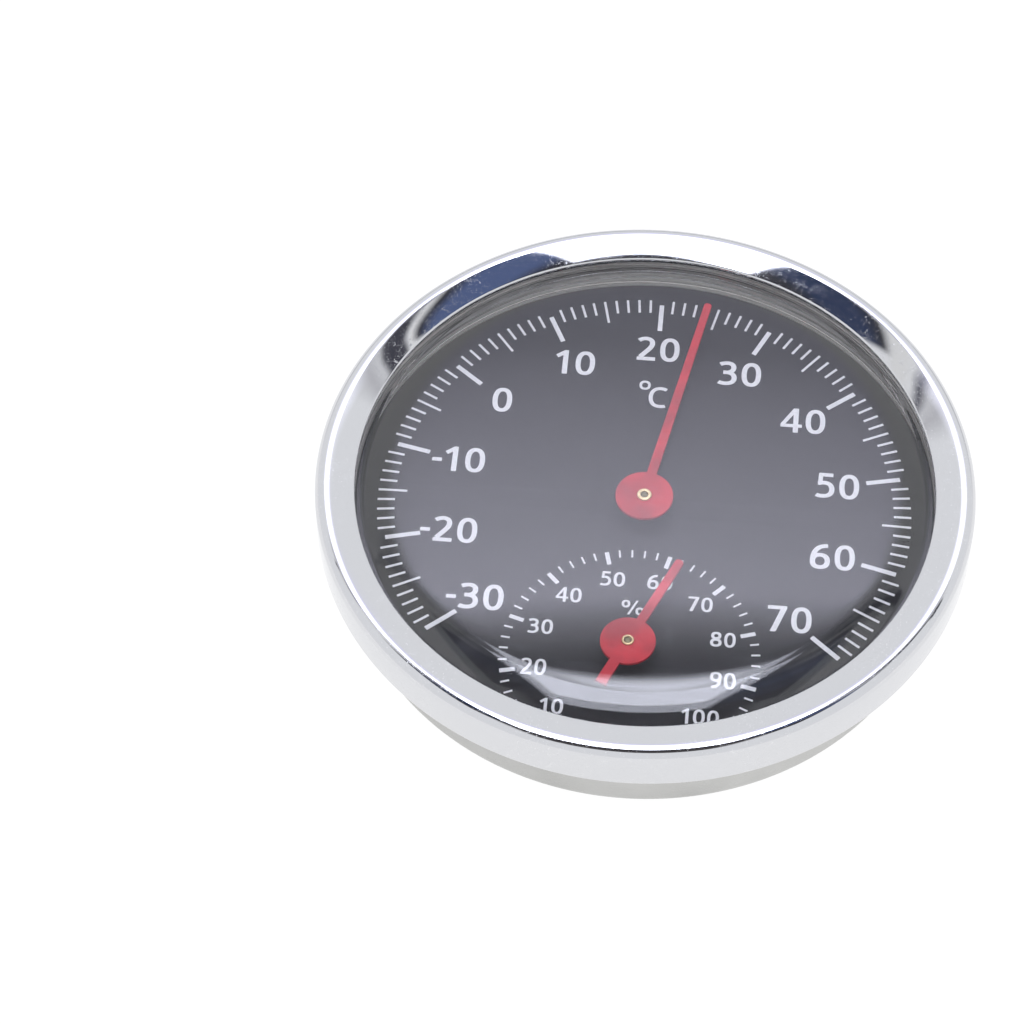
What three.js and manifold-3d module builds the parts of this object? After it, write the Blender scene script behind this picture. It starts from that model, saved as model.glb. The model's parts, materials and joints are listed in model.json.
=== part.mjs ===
// A round dial hygrometer with a thermometer scale: a chrome bezel crimped over a shallow steel can,
// a domed lens, one dial with two scales, and behind it two spiral-coil movements on riveted bridges.
// Millimetres. The instrument lies on its back: +Z points out of the dial and +Y to 12 o'clock.
// The origin is the centre of the can's flat back.
import * as THREE from "three";
import { mergeVertices } from "three/addons/utils/BufferGeometryUtils.js";
import Module from "manifold-3d";

const wasm = await Module();
wasm.setup();

// Case
const CASE_SEGMENTS = 64;
const DISC_SEGMENTS = 48;
const CAN_RADIUS = 34.15;
const SHEET = 0.5;
const CAN_EDGE_RADIUS = 1.2;
const FLANGE_RADIUS = 36.7;
const FLANGE_Z = 9.5;
const BEZEL_RADIUS = 37.5;
const BEZEL_BOTTOM_Z = FLANGE_Z - SHEET;
const BEZEL_CURL_RADIUS = 34.5;
const BEZEL_FOOT_ROUND = 0.6;
const BEZEL_CREST_Z = 14.9;
const BEZEL_CREST_RADIUS = 36.1;
const BEZEL_CREST_FALL = 0.32;
const BEZEL_CORNER_ROUND = 1.2;
const BEZEL_SLOPE_DEG = 15.6;
const BEZEL_LIP_RADIUS = 32.85;
const BEZEL_LIP_ROUND = 0.3;

// Vents and the screwdriver hole in the can's back
const VENT_COUNT = 12;
const VENT_RADIUS = 28;
const VENT_WIDTH = 2.2;
const VENT_SPAN_DEG = 17;
const ACCESS_HOLE_RADIUS = 3;

// Lens
const LENS_RADIUS = 33.5;
const LENS_RIM_Z = 12;
const LENS_RIM_TOP_Z = 13.02;
const LENS_TOP_Z = 15.3;
const LENS_THICKNESS = 1.3;
const LENS_SPHERE_RADIUS = 400;
const LENS_DOME_RADIUS = 28.2;
const LENS_EDGE_ARC = 12.2;

// Rings inside the can
const SPACER_WALL_RADIUS = 33.1;
const SPACER_FOOT_RADIUS = 32.95;
const SPACER_FOOT_HEIGHT = 0.5;
const SPACER_FLANGE_RADIUS = 34.9;
const INNER_FIT_RADIUS = SPACER_WALL_RADIUS + SHEET;
const SUPPORT_INNER_RADIUS = 31.6;

// Dial
const DIAL_RADIUS = 33.5;
const PLATE_BOTTOM_Z = 8.15;
const PLATE_THICKNESS = 0.5;
const FACE_THICKNESS = 0.1;
const PLATE_TOP_Z = PLATE_BOTTOM_Z + PLATE_THICKNESS;
const DIAL_Z = PLATE_TOP_Z + FACE_THICKNESS;

// Scales: angles are measured clockwise from 12 o'clock
const TEMPERATURE = {
  centre: [0, 0],
  low: -30,
  high: 70,
  step: 1,
  top: 20,
  degPerUnit: 2.588,
  marks: [
    { every: 10, inner: 25.8, outer: 29.7, width: 0.55 },
    { every: 5, inner: 27.2, outer: 30.4, width: 0.29 },
    { every: 1, inner: 28.5, outer: 30.4, width: 0.29 },
  ],
};
const HUMIDITY = {
  centre: [-0.1, -20.85],
  low: 10,
  high: 100,
  step: 2,
  top: 55,
  degPerUnit: 2.9,
  marks: [
    { every: 10, inner: 12.75, outer: 14.45, width: 0.5 },
    { every: 2, inner: 13.56, outer: 14.56, width: 0.22 },
  ],
};

// Pointers at the readings they rest at
const THERMO = {
  name: "thermo",
  centre: [0, 0],
  reading: 24.2,
  scale: TEMPERATURE,
  hubRadius: 3.3,
  armLength: 29.3,
  armWidth: 1.15,
  tipWidth: 0.9,
  tailLength: 0,
  pointerTopZ: DIAL_Z + 2.15,
  colletRadius: 0.83,
  shankRadius: 0.62,
  stripThickness: 0.15,
  coilTurns: 7.5,
  studAngleDeg: 0,
  coilColour: 0xb08d57,
};
const HYGRO = {
  name: "hygro",
  centre: [-0.35, -20.4],
  reading: 63.3,
  scale: HUMIDITY,
  hubRadius: 3.1,
  armLength: 12.5,
  armWidth: 1.1,
  tipWidth: 1.0,
  tailLength: 6.3,
  pointerTopZ: DIAL_Z + 2.6,
  colletRadius: 0.68,
  shankRadius: 0.55,
  stripThickness: 0.2,
  coilTurns: 5.5,
  studAngleDeg: 90,
  coilColour: 0x9a8f7a,
};
const POINTER_THICKNESS = 0.4;
const TAIL_WIDTH = 1.27;
const COLLET_WALL = 0.35;
const COLLET_BARREL_HEIGHT = 0.8;
const COLLET_HEAD_HEIGHT = 0.18;
const COLLET_CHAMFER = 0.08;

// Movement behind the dial
const ARBOR_RADIUS = 0.4;
const BUSH_BORE_RADIUS = 0.43;
const PRESS_BORE_RADIUS = 0.42;
const ARBOR_BACK_Z = 2;
const ARBOR_CHAMFER = 0.12;
const ARBOR_FRONT_LENGTH = 0.1;
const SHAFT_SEGMENTS = 12;
const STRIP_HEIGHT = 3;
const COIL_Z = 3.6;
const COIL_INNER_RADIUS = 1.35;
const COIL_OUTER_RADIUS = 9;
const COIL_TAB_RADIUS = 0.75;
const COIL_END = 1.4;
const COIL_SEGMENTS_PER_TURN = 16;
const SLEEVE_RADIUS = 1.2;
const SLEEVE_BOTTOM_Z = 3.5;
const SLEEVE_TOP_Z = 7.3;
const SLOT_WIDTH = 0.32;
const STUD_RADIUS = 0.8;
const STUD_SHANK_RADIUS = 0.5;
const STUD_TOP_Z = 6.8;
const STUD_SLIT_GAP = 0.05;
const CUT_REACH = 1;
const BRIDGE_Z = 1.8;
const BRIDGE_THICKNESS = 0.6;
const BRIDGE_TOP_Z = BRIDGE_Z + BRIDGE_THICKNESS;
const BRIDGE_WIDTH = 5;
const BRIDGE_BEND = 0.6;
const BRIDGE_LEG_X = 11.5;
const BRIDGE_FOOT_X = 14.9;
const RIVET_X = 13.2;
const RIVET_RADIUS = 0.8;
const RIVET_HEAD_RADIUS = 1.45;
const RIVET_HEAD_HEIGHT = 0.6;
const FRONT_BUSH_RADIUS = 1.4;
const FRONT_BUSH_FLANGE = 0.8;
const FRONT_BUSH_BOTTOM_Z = 7.5;
const FRONT_BUSH_TOP_Z = DIAL_Z + 0.3;
const REAR_BUSH_RADIUS = 1.3;
const REAR_BUSH_FLANGE = 0.5;
const REAR_BUSH_BACK_Z = BRIDGE_Z - 0.4;
const REAR_BUSH_TOP_Z = 3.3;
const BORE_BOTTOM_Z = ARBOR_BACK_Z - 0.05;
const ADJUSTER_HUB_RADIUS = 2;
const ADJUSTER_RIM = 0.5;
const ADJUSTER_COLLAR = 1;
const ADJUSTER_BACK_Z = 1;
const ADJUSTER_ARM_Z = 2.6;
const ADJUSTER_ARM_THICKNESS = 0.5;
const ADJUSTER_ARM_TOP_Z = ADJUSTER_ARM_Z + ADJUSTER_ARM_THICKNESS;
const ADJUSTER_SLOT_WIDTH = 0.6;
const ADJUSTER_SLOT_DEPTH = 0.5;
const WASHER_WIDTH = 0.84;
const HOLE_GAP = 0.02;
const TURNING_GAP = 0.06;
const FACE_HOLE_GAP = 0.1;

const toRadians = THREE.MathUtils.degToRad;

// Points on an arc in a profile's (radius, height) plane, angles in degrees.
function arc(centreR, centreZ, radius, fromDeg, toDeg, steps) {
  const points = [];
  for (let i = 0; i <= steps; i++) {
    const angle = toRadians(fromDeg + ((toDeg - fromDeg) * i) / steps);
    points.push([centreR + radius * Math.cos(angle), centreZ + radius * Math.sin(angle)]);
  }
  return points;
}

// A solid of revolution about Z. The profile runs anticlockwise in (radius, height) and either closes
// on itself or starts and ends on the axis.
function turned(profile, segments) {
  const onAxis = profile[0][0] === 0;
  const closed = onAxis ? profile : [...profile, profile[0]];
  const points = closed.map(([r, z]) => new THREE.Vector2(r, z));
  return new THREE.LatheGeometry(points, segments).rotateX(Math.PI / 2);
}

// A flat plate cut from a shape in the XY plane, from bottomZ upwards.
function plate(shape, bottomZ, thickness, curveSegments) {
  const options = { depth: thickness, bevelEnabled: false, curveSegments };
  return new THREE.ExtrudeGeometry(shape, options).translate(0, 0, bottomZ);
}

// A round hole in a shape, with few enough sides for its size.
function roundHole(x, y, radius) {
  const points = [];
  for (let i = 0; i < SHAFT_SEGMENTS; i++) {
    const angle = (2 * Math.PI * i) / SHAFT_SEGMENTS;
    points.push(new THREE.Vector2(x + radius * Math.cos(angle), y + radius * Math.sin(angle)));
  }
  return new THREE.Path(points);
}

function disc(radius) {
  return new THREE.Shape().absarc(0, 0, radius, 0, 2 * Math.PI, false);
}

function rod(radius, bottomZ, topZ, segments, x = 0, y = 0) {
  const height = topZ - bottomZ;
  const rodShape = new THREE.CylinderGeometry(radius, radius, height, segments).rotateX(Math.PI / 2);
  return rodShape.translate(x, y, bottomZ + height / 2);
}

function box(x0, x1, y0, y1, z0, z1) {
  const block = new THREE.BoxGeometry(x1 - x0, y1 - y0, z1 - z0);
  return block.translate((x0 + x1) / 2, (y0 + y1) / 2, (z0 + z1) / 2);
}

function toSolid(geometry) {
  const bare = geometry.clone();
  bare.deleteAttribute("normal");
  bare.deleteAttribute("uv");
  const merged = mergeVertices(bare, 1e-4);
  const mesh = new wasm.Mesh({
    numProp: 3,
    vertProperties: merged.attributes.position.array,
    triVerts: new Uint32Array(merged.index.array),
  });
  return new wasm.Manifold(mesh);
}

function toGeometry(solid) {
  const mesh = solid.getMesh();
  const geometry = new THREE.BufferGeometry();
  geometry.setAttribute("position", new THREE.BufferAttribute(mesh.vertProperties, 3));
  geometry.setIndex(new THREE.BufferAttribute(mesh.triVerts, 1));
  geometry.computeVertexNormals();
  return geometry;
}

function cut(geometry, tools) {
  return toGeometry(tools.reduce((solid, tool) => solid.subtract(toSolid(tool)), toSolid(geometry)));
}

function named(name, geometry, color, roughness, metalness) {
  const material = new THREE.MeshStandardMaterial({ color, roughness, metalness });
  const mesh = new THREE.Mesh(geometry, material);
  mesh.name = name;
  return mesh;
}

const brass = [0xc9a45c, 0.35, 1];
const steel = [0xb9bcc2, 0.3, 1];
const chrome = [0xe4e6ea, 0.08, 1];
const pointerRed = [0xd22a3c, 0.5, 0];

function rearCan() {
  const inner = CAN_RADIUS - SHEET;
  const flat = CAN_RADIUS - CAN_EDGE_RADIUS;
  const profile = [
    [0, 0],
    ...arc(flat, CAN_EDGE_RADIUS, CAN_EDGE_RADIUS, -90, 0, 3),
    [CAN_RADIUS, FLANGE_Z],
    [FLANGE_RADIUS, FLANGE_Z],
    [FLANGE_RADIUS, FLANGE_Z + SHEET],
    [inner, FLANGE_Z + SHEET],
    ...arc(flat, CAN_EDGE_RADIUS, CAN_EDGE_RADIUS - SHEET, 0, -90, 3),
    [0, SHEET],
  ];
  const tools = [];
  for (let i = 0; i < VENT_COUNT; i++) {
    tools.push(ventSlot((360 * (i + 0.5)) / VENT_COUNT));
  }
  tools.push(rod(ACCESS_HOLE_RADIUS, -1, 1, 24, ...HYGRO.centre));
  return cut(turned(profile, CASE_SEGMENTS), tools);
}

// One arc-shaped vent with square ends, centred on a bearing in degrees.
function ventSlot(bearingDeg) {
  const from = toRadians(bearingDeg - VENT_SPAN_DEG / 2);
  const to = toRadians(bearingDeg + VENT_SPAN_DEG / 2);
  const shape = new THREE.Shape();
  shape.absarc(0, 0, VENT_RADIUS + VENT_WIDTH / 2, from, to, false);
  shape.absarc(0, 0, VENT_RADIUS - VENT_WIDTH / 2, to, from, true);
  return plate(shape, -1, 2, 3);
}

// A stamped channel: a curl under the can's flange, a wall, a rounded corner, a crest, and a slope down
// to the lip.
function bezelRing() {
  const slope = toRadians(BEZEL_SLOPE_DEG);
  const cornerR = BEZEL_RADIUS - BEZEL_CORNER_ROUND;
  const cornerZ = BEZEL_CREST_Z - BEZEL_CREST_FALL - BEZEL_CORNER_ROUND;
  const lipR = BEZEL_LIP_RADIUS + BEZEL_LIP_ROUND;
  const slopeEndR = lipR - BEZEL_LIP_ROUND * Math.sin(slope);
  const slopeEndZ = BEZEL_CREST_Z - (BEZEL_CREST_RADIUS - slopeEndR) * Math.tan(slope);
  const lipZ = slopeEndZ - BEZEL_LIP_ROUND * Math.cos(slope);
  const wallInner = BEZEL_RADIUS - SHEET;
  const profile = [
    [BEZEL_CURL_RADIUS, BEZEL_BOTTOM_Z],
    ...arc(BEZEL_RADIUS - BEZEL_FOOT_ROUND, BEZEL_BOTTOM_Z + BEZEL_FOOT_ROUND, BEZEL_FOOT_ROUND, -90, 0, 2),
    ...arc(cornerR, cornerZ, BEZEL_CORNER_ROUND, 0, 90, 3),
    [BEZEL_CREST_RADIUS, BEZEL_CREST_Z],
    ...arc(lipR, lipZ, BEZEL_LIP_ROUND, 90 + BEZEL_SLOPE_DEG, 180, 2),
    [BEZEL_LIP_RADIUS, LENS_RIM_TOP_Z],
    [LENS_RADIUS, LENS_RIM_TOP_Z],
    [BEZEL_CREST_RADIUS, BEZEL_CREST_Z - SHEET],
    [wallInner, cornerZ],
    [wallInner, FLANGE_Z],
    [BEZEL_CURL_RADIUS, FLANGE_Z],
  ];
  return turned(profile, CASE_SEGMENTS);
}

// One face of the lens from the axis outwards: a shallow dome, then a tighter arc down to endZ.
function lensFace(apexZ, endZ) {
  const joinAngle = Math.asin(LENS_DOME_RADIUS / LENS_SPHERE_RADIUS);
  const joinZ = apexZ - LENS_SPHERE_RADIUS * (1 - Math.cos(joinAngle));
  const endAngle = Math.acos(Math.cos(joinAngle) - (joinZ - endZ) / LENS_EDGE_ARC);
  const joinDeg = 90 - THREE.MathUtils.radToDeg(joinAngle);
  const endDeg = 90 - THREE.MathUtils.radToDeg(endAngle);
  const dome = arc(0, apexZ - LENS_SPHERE_RADIUS, LENS_SPHERE_RADIUS, 90, joinDeg, 4);
  const edgeR = LENS_DOME_RADIUS - LENS_EDGE_ARC * Math.sin(joinAngle);
  const edgeZ = joinZ - LENS_EDGE_ARC * Math.cos(joinAngle);
  const edge = arc(edgeR, edgeZ, LENS_EDGE_ARC, joinDeg, endDeg, 3);
  return [[0, apexZ], ...dome.slice(1), ...edge.slice(1)];
}

// A shell of even thickness with a flat rim.
function lens() {
  const under = lensFace(LENS_TOP_Z - LENS_THICKNESS, LENS_RIM_Z);
  const top = lensFace(LENS_TOP_Z, LENS_RIM_TOP_Z);
  const rim = [[LENS_RADIUS, LENS_RIM_Z], [LENS_RADIUS, LENS_RIM_TOP_Z]];
  return turned([...under, ...rim, ...top.reverse()], DISC_SEGMENTS);
}

// The bright ring between the dial and the lens: a bevelled foot, a wall and a flange under the lens.
function spacerRing() {
  return turned(
    [
      [SPACER_FOOT_RADIUS, DIAL_Z],
      [INNER_FIT_RADIUS, DIAL_Z],
      [INNER_FIT_RADIUS, LENS_RIM_Z - SHEET],
      [SPACER_FLANGE_RADIUS, LENS_RIM_Z - SHEET],
      [SPACER_FLANGE_RADIUS, LENS_RIM_Z],
      [SPACER_WALL_RADIUS, LENS_RIM_Z],
      [SPACER_WALL_RADIUS, DIAL_Z + SPACER_FOOT_HEIGHT],
    ],
    DISC_SEGMENTS,
  );
}

function dialSupportRing() {
  const chamfer = CAN_EDGE_RADIUS;
  return turned(
    [
      [SUPPORT_INNER_RADIUS, SHEET],
      [INNER_FIT_RADIUS - chamfer, SHEET],
      [INNER_FIT_RADIUS, SHEET + chamfer],
      [INNER_FIT_RADIUS, PLATE_BOTTOM_Z],
      [SUPPORT_INNER_RADIUS, PLATE_BOTTOM_Z],
    ],
    DISC_SEGMENTS,
  );
}

function dialPlate() {
  const shape = disc(DIAL_RADIUS);
  for (const { centre } of [THERMO, HYGRO]) {
    shape.holes.push(roundHole(...centre, FRONT_BUSH_RADIUS + HOLE_GAP));
    for (const side of [-1, 1]) {
      shape.holes.push(roundHole(centre[0] + side * RIVET_X, centre[1], RIVET_RADIUS + HOLE_GAP));
    }
  }
  return plate(shape, PLATE_BOTTOM_Z, PLATE_THICKNESS, DISC_SEGMENTS);
}

function scaleAngle(scale, value) {
  return toRadians((value - scale.top) * scale.degPerUnit);
}

// The four corners of one graduation, as a hole in the black face that shows the white plate.
function graduation(scale, value) {
  const { inner, outer, width } = scale.marks.find((mark) => value % mark.every === 0);
  const angle = scaleAngle(scale, value);
  const along = [Math.sin(angle), Math.cos(angle)];
  const across = [Math.cos(angle), -Math.sin(angle)];
  const corner = (radius, side) =>
    new THREE.Vector2(
      scale.centre[0] + radius * along[0] + side * across[0],
      scale.centre[1] + radius * along[1] + side * across[1],
    );
  const half = width / 2;
  const corners = [corner(inner, -half), corner(inner, half), corner(outer, half), corner(outer, -half)];
  return new THREE.Path(corners);
}

function dialFace() {
  const shape = disc(DIAL_RADIUS);
  for (const scale of [TEMPERATURE, HUMIDITY]) {
    for (let value = scale.low; value <= scale.high; value += scale.step) {
      shape.holes.push(graduation(scale, value));
    }
  }
  for (const { centre } of [THERMO, HYGRO]) {
    shape.holes.push(roundHole(...centre, FRONT_BUSH_RADIUS + FACE_HOLE_GAP));
  }
  return plate(shape, PLATE_TOP_Z, FACE_THICKNESS, DISC_SEGMENTS);
}

// A round hub with a tapering arm towards +Y and, where it has one, a short tail towards -Y.
function pointer({ hubRadius, armLength, armWidth, tipWidth, tailLength, pointerTopZ, shankRadius }) {
  const armAngle = Math.asin(armWidth / 2 / hubRadius);
  const up = Math.PI / 2;
  const shape = new THREE.Shape();
  shape.moveTo(hubRadius * Math.sin(armAngle), hubRadius * Math.cos(armAngle));
  shape.lineTo(tipWidth / 2, armLength - tipWidth / 4);
  shape.lineTo(tipWidth / 4, armLength);
  shape.lineTo(-tipWidth / 4, armLength);
  shape.lineTo(-tipWidth / 2, armLength - tipWidth / 4);
  if (tailLength > 0) {
    const tailAngle = Math.asin(TAIL_WIDTH / 2 / hubRadius);
    shape.absarc(0, 0, hubRadius, up + armAngle, 3 * up - tailAngle, false);
    shape.lineTo(-TAIL_WIDTH / 2, -tailLength);
    shape.lineTo(TAIL_WIDTH / 2, -tailLength);
    shape.absarc(0, 0, hubRadius, 3 * up + tailAngle, 5 * up - armAngle, false);
  } else {
    shape.absarc(0, 0, hubRadius, up + armAngle, 5 * up - armAngle, false);
  }
  shape.holes.push(roundHole(0, 0, shankRadius + HOLE_GAP));
  return plate(shape, pointerTopZ - POINTER_THICKNESS, POINTER_THICKNESS, 14);
}

// The brass collet carries the pointer on the arbor: a barrel below it and a riveted head above.
function collet({ pointerTopZ, colletRadius, shankRadius }) {
  const pointerBottomZ = pointerTopZ - POINTER_THICKNESS;
  const barrelRadius = colletRadius + COLLET_WALL;
  const headTop = pointerTopZ + COLLET_HEAD_HEIGHT;
  return turned(
    [
      [PRESS_BORE_RADIUS, pointerBottomZ - COLLET_BARREL_HEIGHT],
      [barrelRadius, pointerBottomZ - COLLET_BARREL_HEIGHT],
      [barrelRadius, pointerBottomZ],
      [shankRadius, pointerBottomZ],
      [shankRadius, pointerTopZ],
      [colletRadius, pointerTopZ],
      [colletRadius, headTop - COLLET_CHAMFER],
      [colletRadius - COLLET_CHAMFER, headTop],
      [PRESS_BORE_RADIUS, headTop],
    ],
    SHAFT_SEGMENTS,
  );
}

function arbor({ pointerTopZ }) {
  const frontZ = pointerTopZ + ARBOR_FRONT_LENGTH;
  return turned(
    [
      [0, ARBOR_BACK_Z],
      [ARBOR_RADIUS - ARBOR_CHAMFER, ARBOR_BACK_Z],
      [ARBOR_RADIUS, ARBOR_BACK_Z + ARBOR_CHAMFER],
      [ARBOR_RADIUS, frontZ - ARBOR_CHAMFER],
      [ARBOR_RADIUS - ARBOR_CHAMFER, frontZ],
      [0, frontZ],
    ],
    SHAFT_SEGMENTS,
  );
}

function frontBush() {
  return turned(
    [
      [BUSH_BORE_RADIUS, FRONT_BUSH_BOTTOM_Z],
      [FRONT_BUSH_RADIUS + FRONT_BUSH_FLANGE, FRONT_BUSH_BOTTOM_Z],
      [FRONT_BUSH_RADIUS + FRONT_BUSH_FLANGE, PLATE_BOTTOM_Z],
      [FRONT_BUSH_RADIUS, PLATE_BOTTOM_Z],
      [FRONT_BUSH_RADIUS, FRONT_BUSH_TOP_Z],
      [BUSH_BORE_RADIUS, FRONT_BUSH_TOP_Z],
    ],
    SHAFT_SEGMENTS,
  );
}

// The bush in the bridge holds the arbor's back end in a blind bore.
function rearBush() {
  return turned(
    [
      [0, REAR_BUSH_BACK_Z],
      [REAR_BUSH_RADIUS, REAR_BUSH_BACK_Z],
      [REAR_BUSH_RADIUS, BRIDGE_TOP_Z],
      [REAR_BUSH_RADIUS + REAR_BUSH_FLANGE, BRIDGE_TOP_Z],
      [REAR_BUSH_RADIUS + REAR_BUSH_FLANGE, REAR_BUSH_TOP_Z],
      [BUSH_BORE_RADIUS, REAR_BUSH_TOP_Z],
      [BUSH_BORE_RADIUS, BORE_BOTTOM_Z],
      [0, BORE_BOTTOM_Z],
    ],
    SHAFT_SEGMENTS,
  );
}

// The strip's centre line: a tab in the sleeve's slot, an even spiral, and a straight end through the
// stud. The stud is at angle 0 and the coil starts a half turn away from it.
function coilLine(turns) {
  const line = [[-COIL_TAB_RADIUS, 0]];
  const steps = Math.round(turns * COIL_SEGMENTS_PER_TURN);
  const sweep = 2 * Math.PI * turns - Math.atan(COIL_END / COIL_OUTER_RADIUS);
  const endRadius = Math.hypot(COIL_OUTER_RADIUS, COIL_END);
  for (let i = 0; i <= steps; i++) {
    const angle = Math.PI + (sweep * i) / steps;
    const radius = COIL_INNER_RADIUS + ((endRadius - COIL_INNER_RADIUS) * i) / steps;
    line.push([radius * Math.cos(angle), radius * Math.sin(angle)]);
  }
  line.push([COIL_OUTER_RADIUS, COIL_END]);
  return line;
}

function coil({ coilTurns, stripThickness }) {
  const line = coilLine(coilTurns);
  const left = [];
  const right = [];
  line.forEach(([x, y], i) => {
    const before = line[Math.max(i - 1, 0)];
    const after = line[Math.min(i + 1, line.length - 1)];
    const length = Math.hypot(after[0] - before[0], after[1] - before[1]);
    const nx = (-(after[1] - before[1]) / length) * (stripThickness / 2);
    const ny = ((after[0] - before[0]) / length) * (stripThickness / 2);
    left.push(new THREE.Vector2(x + nx, y + ny));
    right.unshift(new THREE.Vector2(x - nx, y - ny));
  });
  return plate(new THREE.Shape([...left, ...right]), COIL_Z, STRIP_HEIGHT, 1);
}

function coilSleeve() {
  const tube = turned(
    [
      [PRESS_BORE_RADIUS, SLEEVE_BOTTOM_Z],
      [SLEEVE_RADIUS, SLEEVE_BOTTOM_Z],
      [SLEEVE_RADIUS, SLEEVE_TOP_Z],
      [PRESS_BORE_RADIUS, SLEEVE_TOP_Z],
    ],
    SHAFT_SEGMENTS,
  );
  const half = SLOT_WIDTH / 2;
  const slotEnd = (PRESS_BORE_RADIUS + COIL_TAB_RADIUS) / 2;
  const slotTop = COIL_Z + STRIP_HEIGHT + STUD_SLIT_GAP;
  const slot = box(-2 * SLEEVE_RADIUS, -slotEnd, -half, half, SLEEVE_BOTTOM_Z - CUT_REACH, slotTop);
  return cut(tube, [slot]);
}

// The stud that the coil's outer end is pinched in, riveted into whatever stands below baseZ.
function coilStud(shankZ, baseZ) {
  const post = turned(
    [
      [0, shankZ],
      [STUD_SHANK_RADIUS, shankZ],
      [STUD_SHANK_RADIUS, baseZ],
      [STUD_RADIUS, baseZ],
      [STUD_RADIUS, STUD_TOP_Z],
      [0, STUD_TOP_Z],
    ],
    SHAFT_SEGMENTS,
  );
  const half = SLOT_WIDTH / 2;
  const reach = 2 * STUD_RADIUS;
  const slit = box(-half, half, -reach, reach, COIL_Z - STUD_SLIT_GAP, STUD_TOP_Z + CUT_REACH);
  return cut(post, [slit]);
}

// A bent strip: two feet under the dial plate, two legs and a bar across the back.
function bridge(centreHoleRadius, hasStudHole) {
  const legInner = BRIDGE_LEG_X - BRIDGE_THICKNESS;
  const footZ = PLATE_BOTTOM_Z - BRIDGE_THICKNESS;
  const half = [
    [BRIDGE_LEG_X - BRIDGE_BEND, BRIDGE_Z],
    [BRIDGE_LEG_X, BRIDGE_Z + BRIDGE_BEND],
    [BRIDGE_LEG_X, footZ],
    [BRIDGE_FOOT_X, footZ],
    [BRIDGE_FOOT_X, PLATE_BOTTOM_Z],
    [legInner, PLATE_BOTTOM_Z],
    [legInner, BRIDGE_TOP_Z],
  ];
  const mirrored = half.map(([x, z]) => [-x, z]).reverse();
  const outline = [...half, ...mirrored].map(([x, z]) => new THREE.Vector2(x, z));
  const options = { depth: BRIDGE_WIDTH, bevelEnabled: false };
  const strip = new THREE.ExtrudeGeometry(new THREE.Shape(outline), options);
  strip.rotateX(Math.PI / 2).translate(0, BRIDGE_WIDTH / 2, 0);
  const tools = [rod(centreHoleRadius, 0, BRIDGE_TOP_Z + CUT_REACH, 2 * SHAFT_SEGMENTS)];
  for (const side of [-1, 1]) {
    const holeTop = PLATE_BOTTOM_Z + CUT_REACH;
    tools.push(rod(RIVET_RADIUS + HOLE_GAP, footZ - CUT_REACH, holeTop, SHAFT_SEGMENTS, side * RIVET_X));
  }
  if (hasStudHole) {
    const studHole = STUD_SHANK_RADIUS + HOLE_GAP;
    tools.push(rod(studHole, 0, BRIDGE_TOP_Z + CUT_REACH, SHAFT_SEGMENTS, COIL_OUTER_RADIUS));
  }
  return cut(strip, tools);
}

// A rivet through a bridge foot and the dial plate, flush with the plate's front under the face.
function rivet() {
  const footZ = PLATE_BOTTOM_Z - BRIDGE_THICKNESS;
  return turned(
    [
      [0, footZ - RIVET_HEAD_HEIGHT],
      [RIVET_RADIUS, footZ - RIVET_HEAD_HEIGHT],
      [RIVET_HEAD_RADIUS, footZ - RIVET_HEAD_HEIGHT / 2],
      [RIVET_HEAD_RADIUS, footZ],
      [RIVET_RADIUS, footZ],
      [RIVET_RADIUS, PLATE_TOP_Z],
      [0, PLATE_TOP_Z],
    ],
    SHAFT_SEGMENTS,
  );
}

// The humidity coil hangs on this lever. Its hub turns stiffly in the bridge, holds the arbor's back
// end, and has a screwdriver slot that faces the hole in the can.
function adjuster() {
  const rimRadius = ADJUSTER_HUB_RADIUS + ADJUSTER_RIM;
  const rimTop = BRIDGE_Z - FACE_HOLE_GAP;
  const hub = turned(
    [
      [0, ADJUSTER_BACK_Z],
      [rimRadius, ADJUSTER_BACK_Z],
      [rimRadius, rimTop],
      [ADJUSTER_HUB_RADIUS, rimTop],
      [ADJUSTER_HUB_RADIUS, ADJUSTER_ARM_Z],
      [ADJUSTER_HUB_RADIUS + ADJUSTER_COLLAR, ADJUSTER_ARM_Z],
      [ADJUSTER_HUB_RADIUS + ADJUSTER_COLLAR, ADJUSTER_ARM_TOP_Z],
      [SLEEVE_RADIUS, ADJUSTER_ARM_TOP_Z],
      [SLEEVE_RADIUS, REAR_BUSH_TOP_Z],
      [BUSH_BORE_RADIUS, REAR_BUSH_TOP_Z],
      [BUSH_BORE_RADIUS, BORE_BOTTOM_Z],
      [0, BORE_BOTTOM_Z],
    ],
    2 * SHAFT_SEGMENTS,
  );
  const armHalf = 1.5 * STUD_RADIUS;
  const armShape = new THREE.Shape();
  armShape.moveTo(ADJUSTER_HUB_RADIUS, -armHalf);
  armShape.absarc(COIL_OUTER_RADIUS, 0, armHalf, -Math.PI / 2, Math.PI / 2, false);
  armShape.lineTo(ADJUSTER_HUB_RADIUS, armHalf);
  const arm = plate(armShape, ADJUSTER_ARM_Z, ADJUSTER_ARM_THICKNESS, SHAFT_SEGMENTS / 2);
  const lever = toGeometry(toSolid(hub).add(toSolid(arm)));
  const holeTop = ADJUSTER_ARM_TOP_Z + CUT_REACH;
  const studHole = rod(STUD_SHANK_RADIUS + HOLE_GAP, 0, holeTop, SHAFT_SEGMENTS, COIL_OUTER_RADIUS);
  const half = ADJUSTER_SLOT_WIDTH / 2;
  const slotTop = ADJUSTER_BACK_Z + ADJUSTER_SLOT_DEPTH;
  const slot = box(-2 * rimRadius, 2 * rimRadius, -half, half, 0, slotTop);
  return cut(lever, [studHole, slot]);
}

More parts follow.
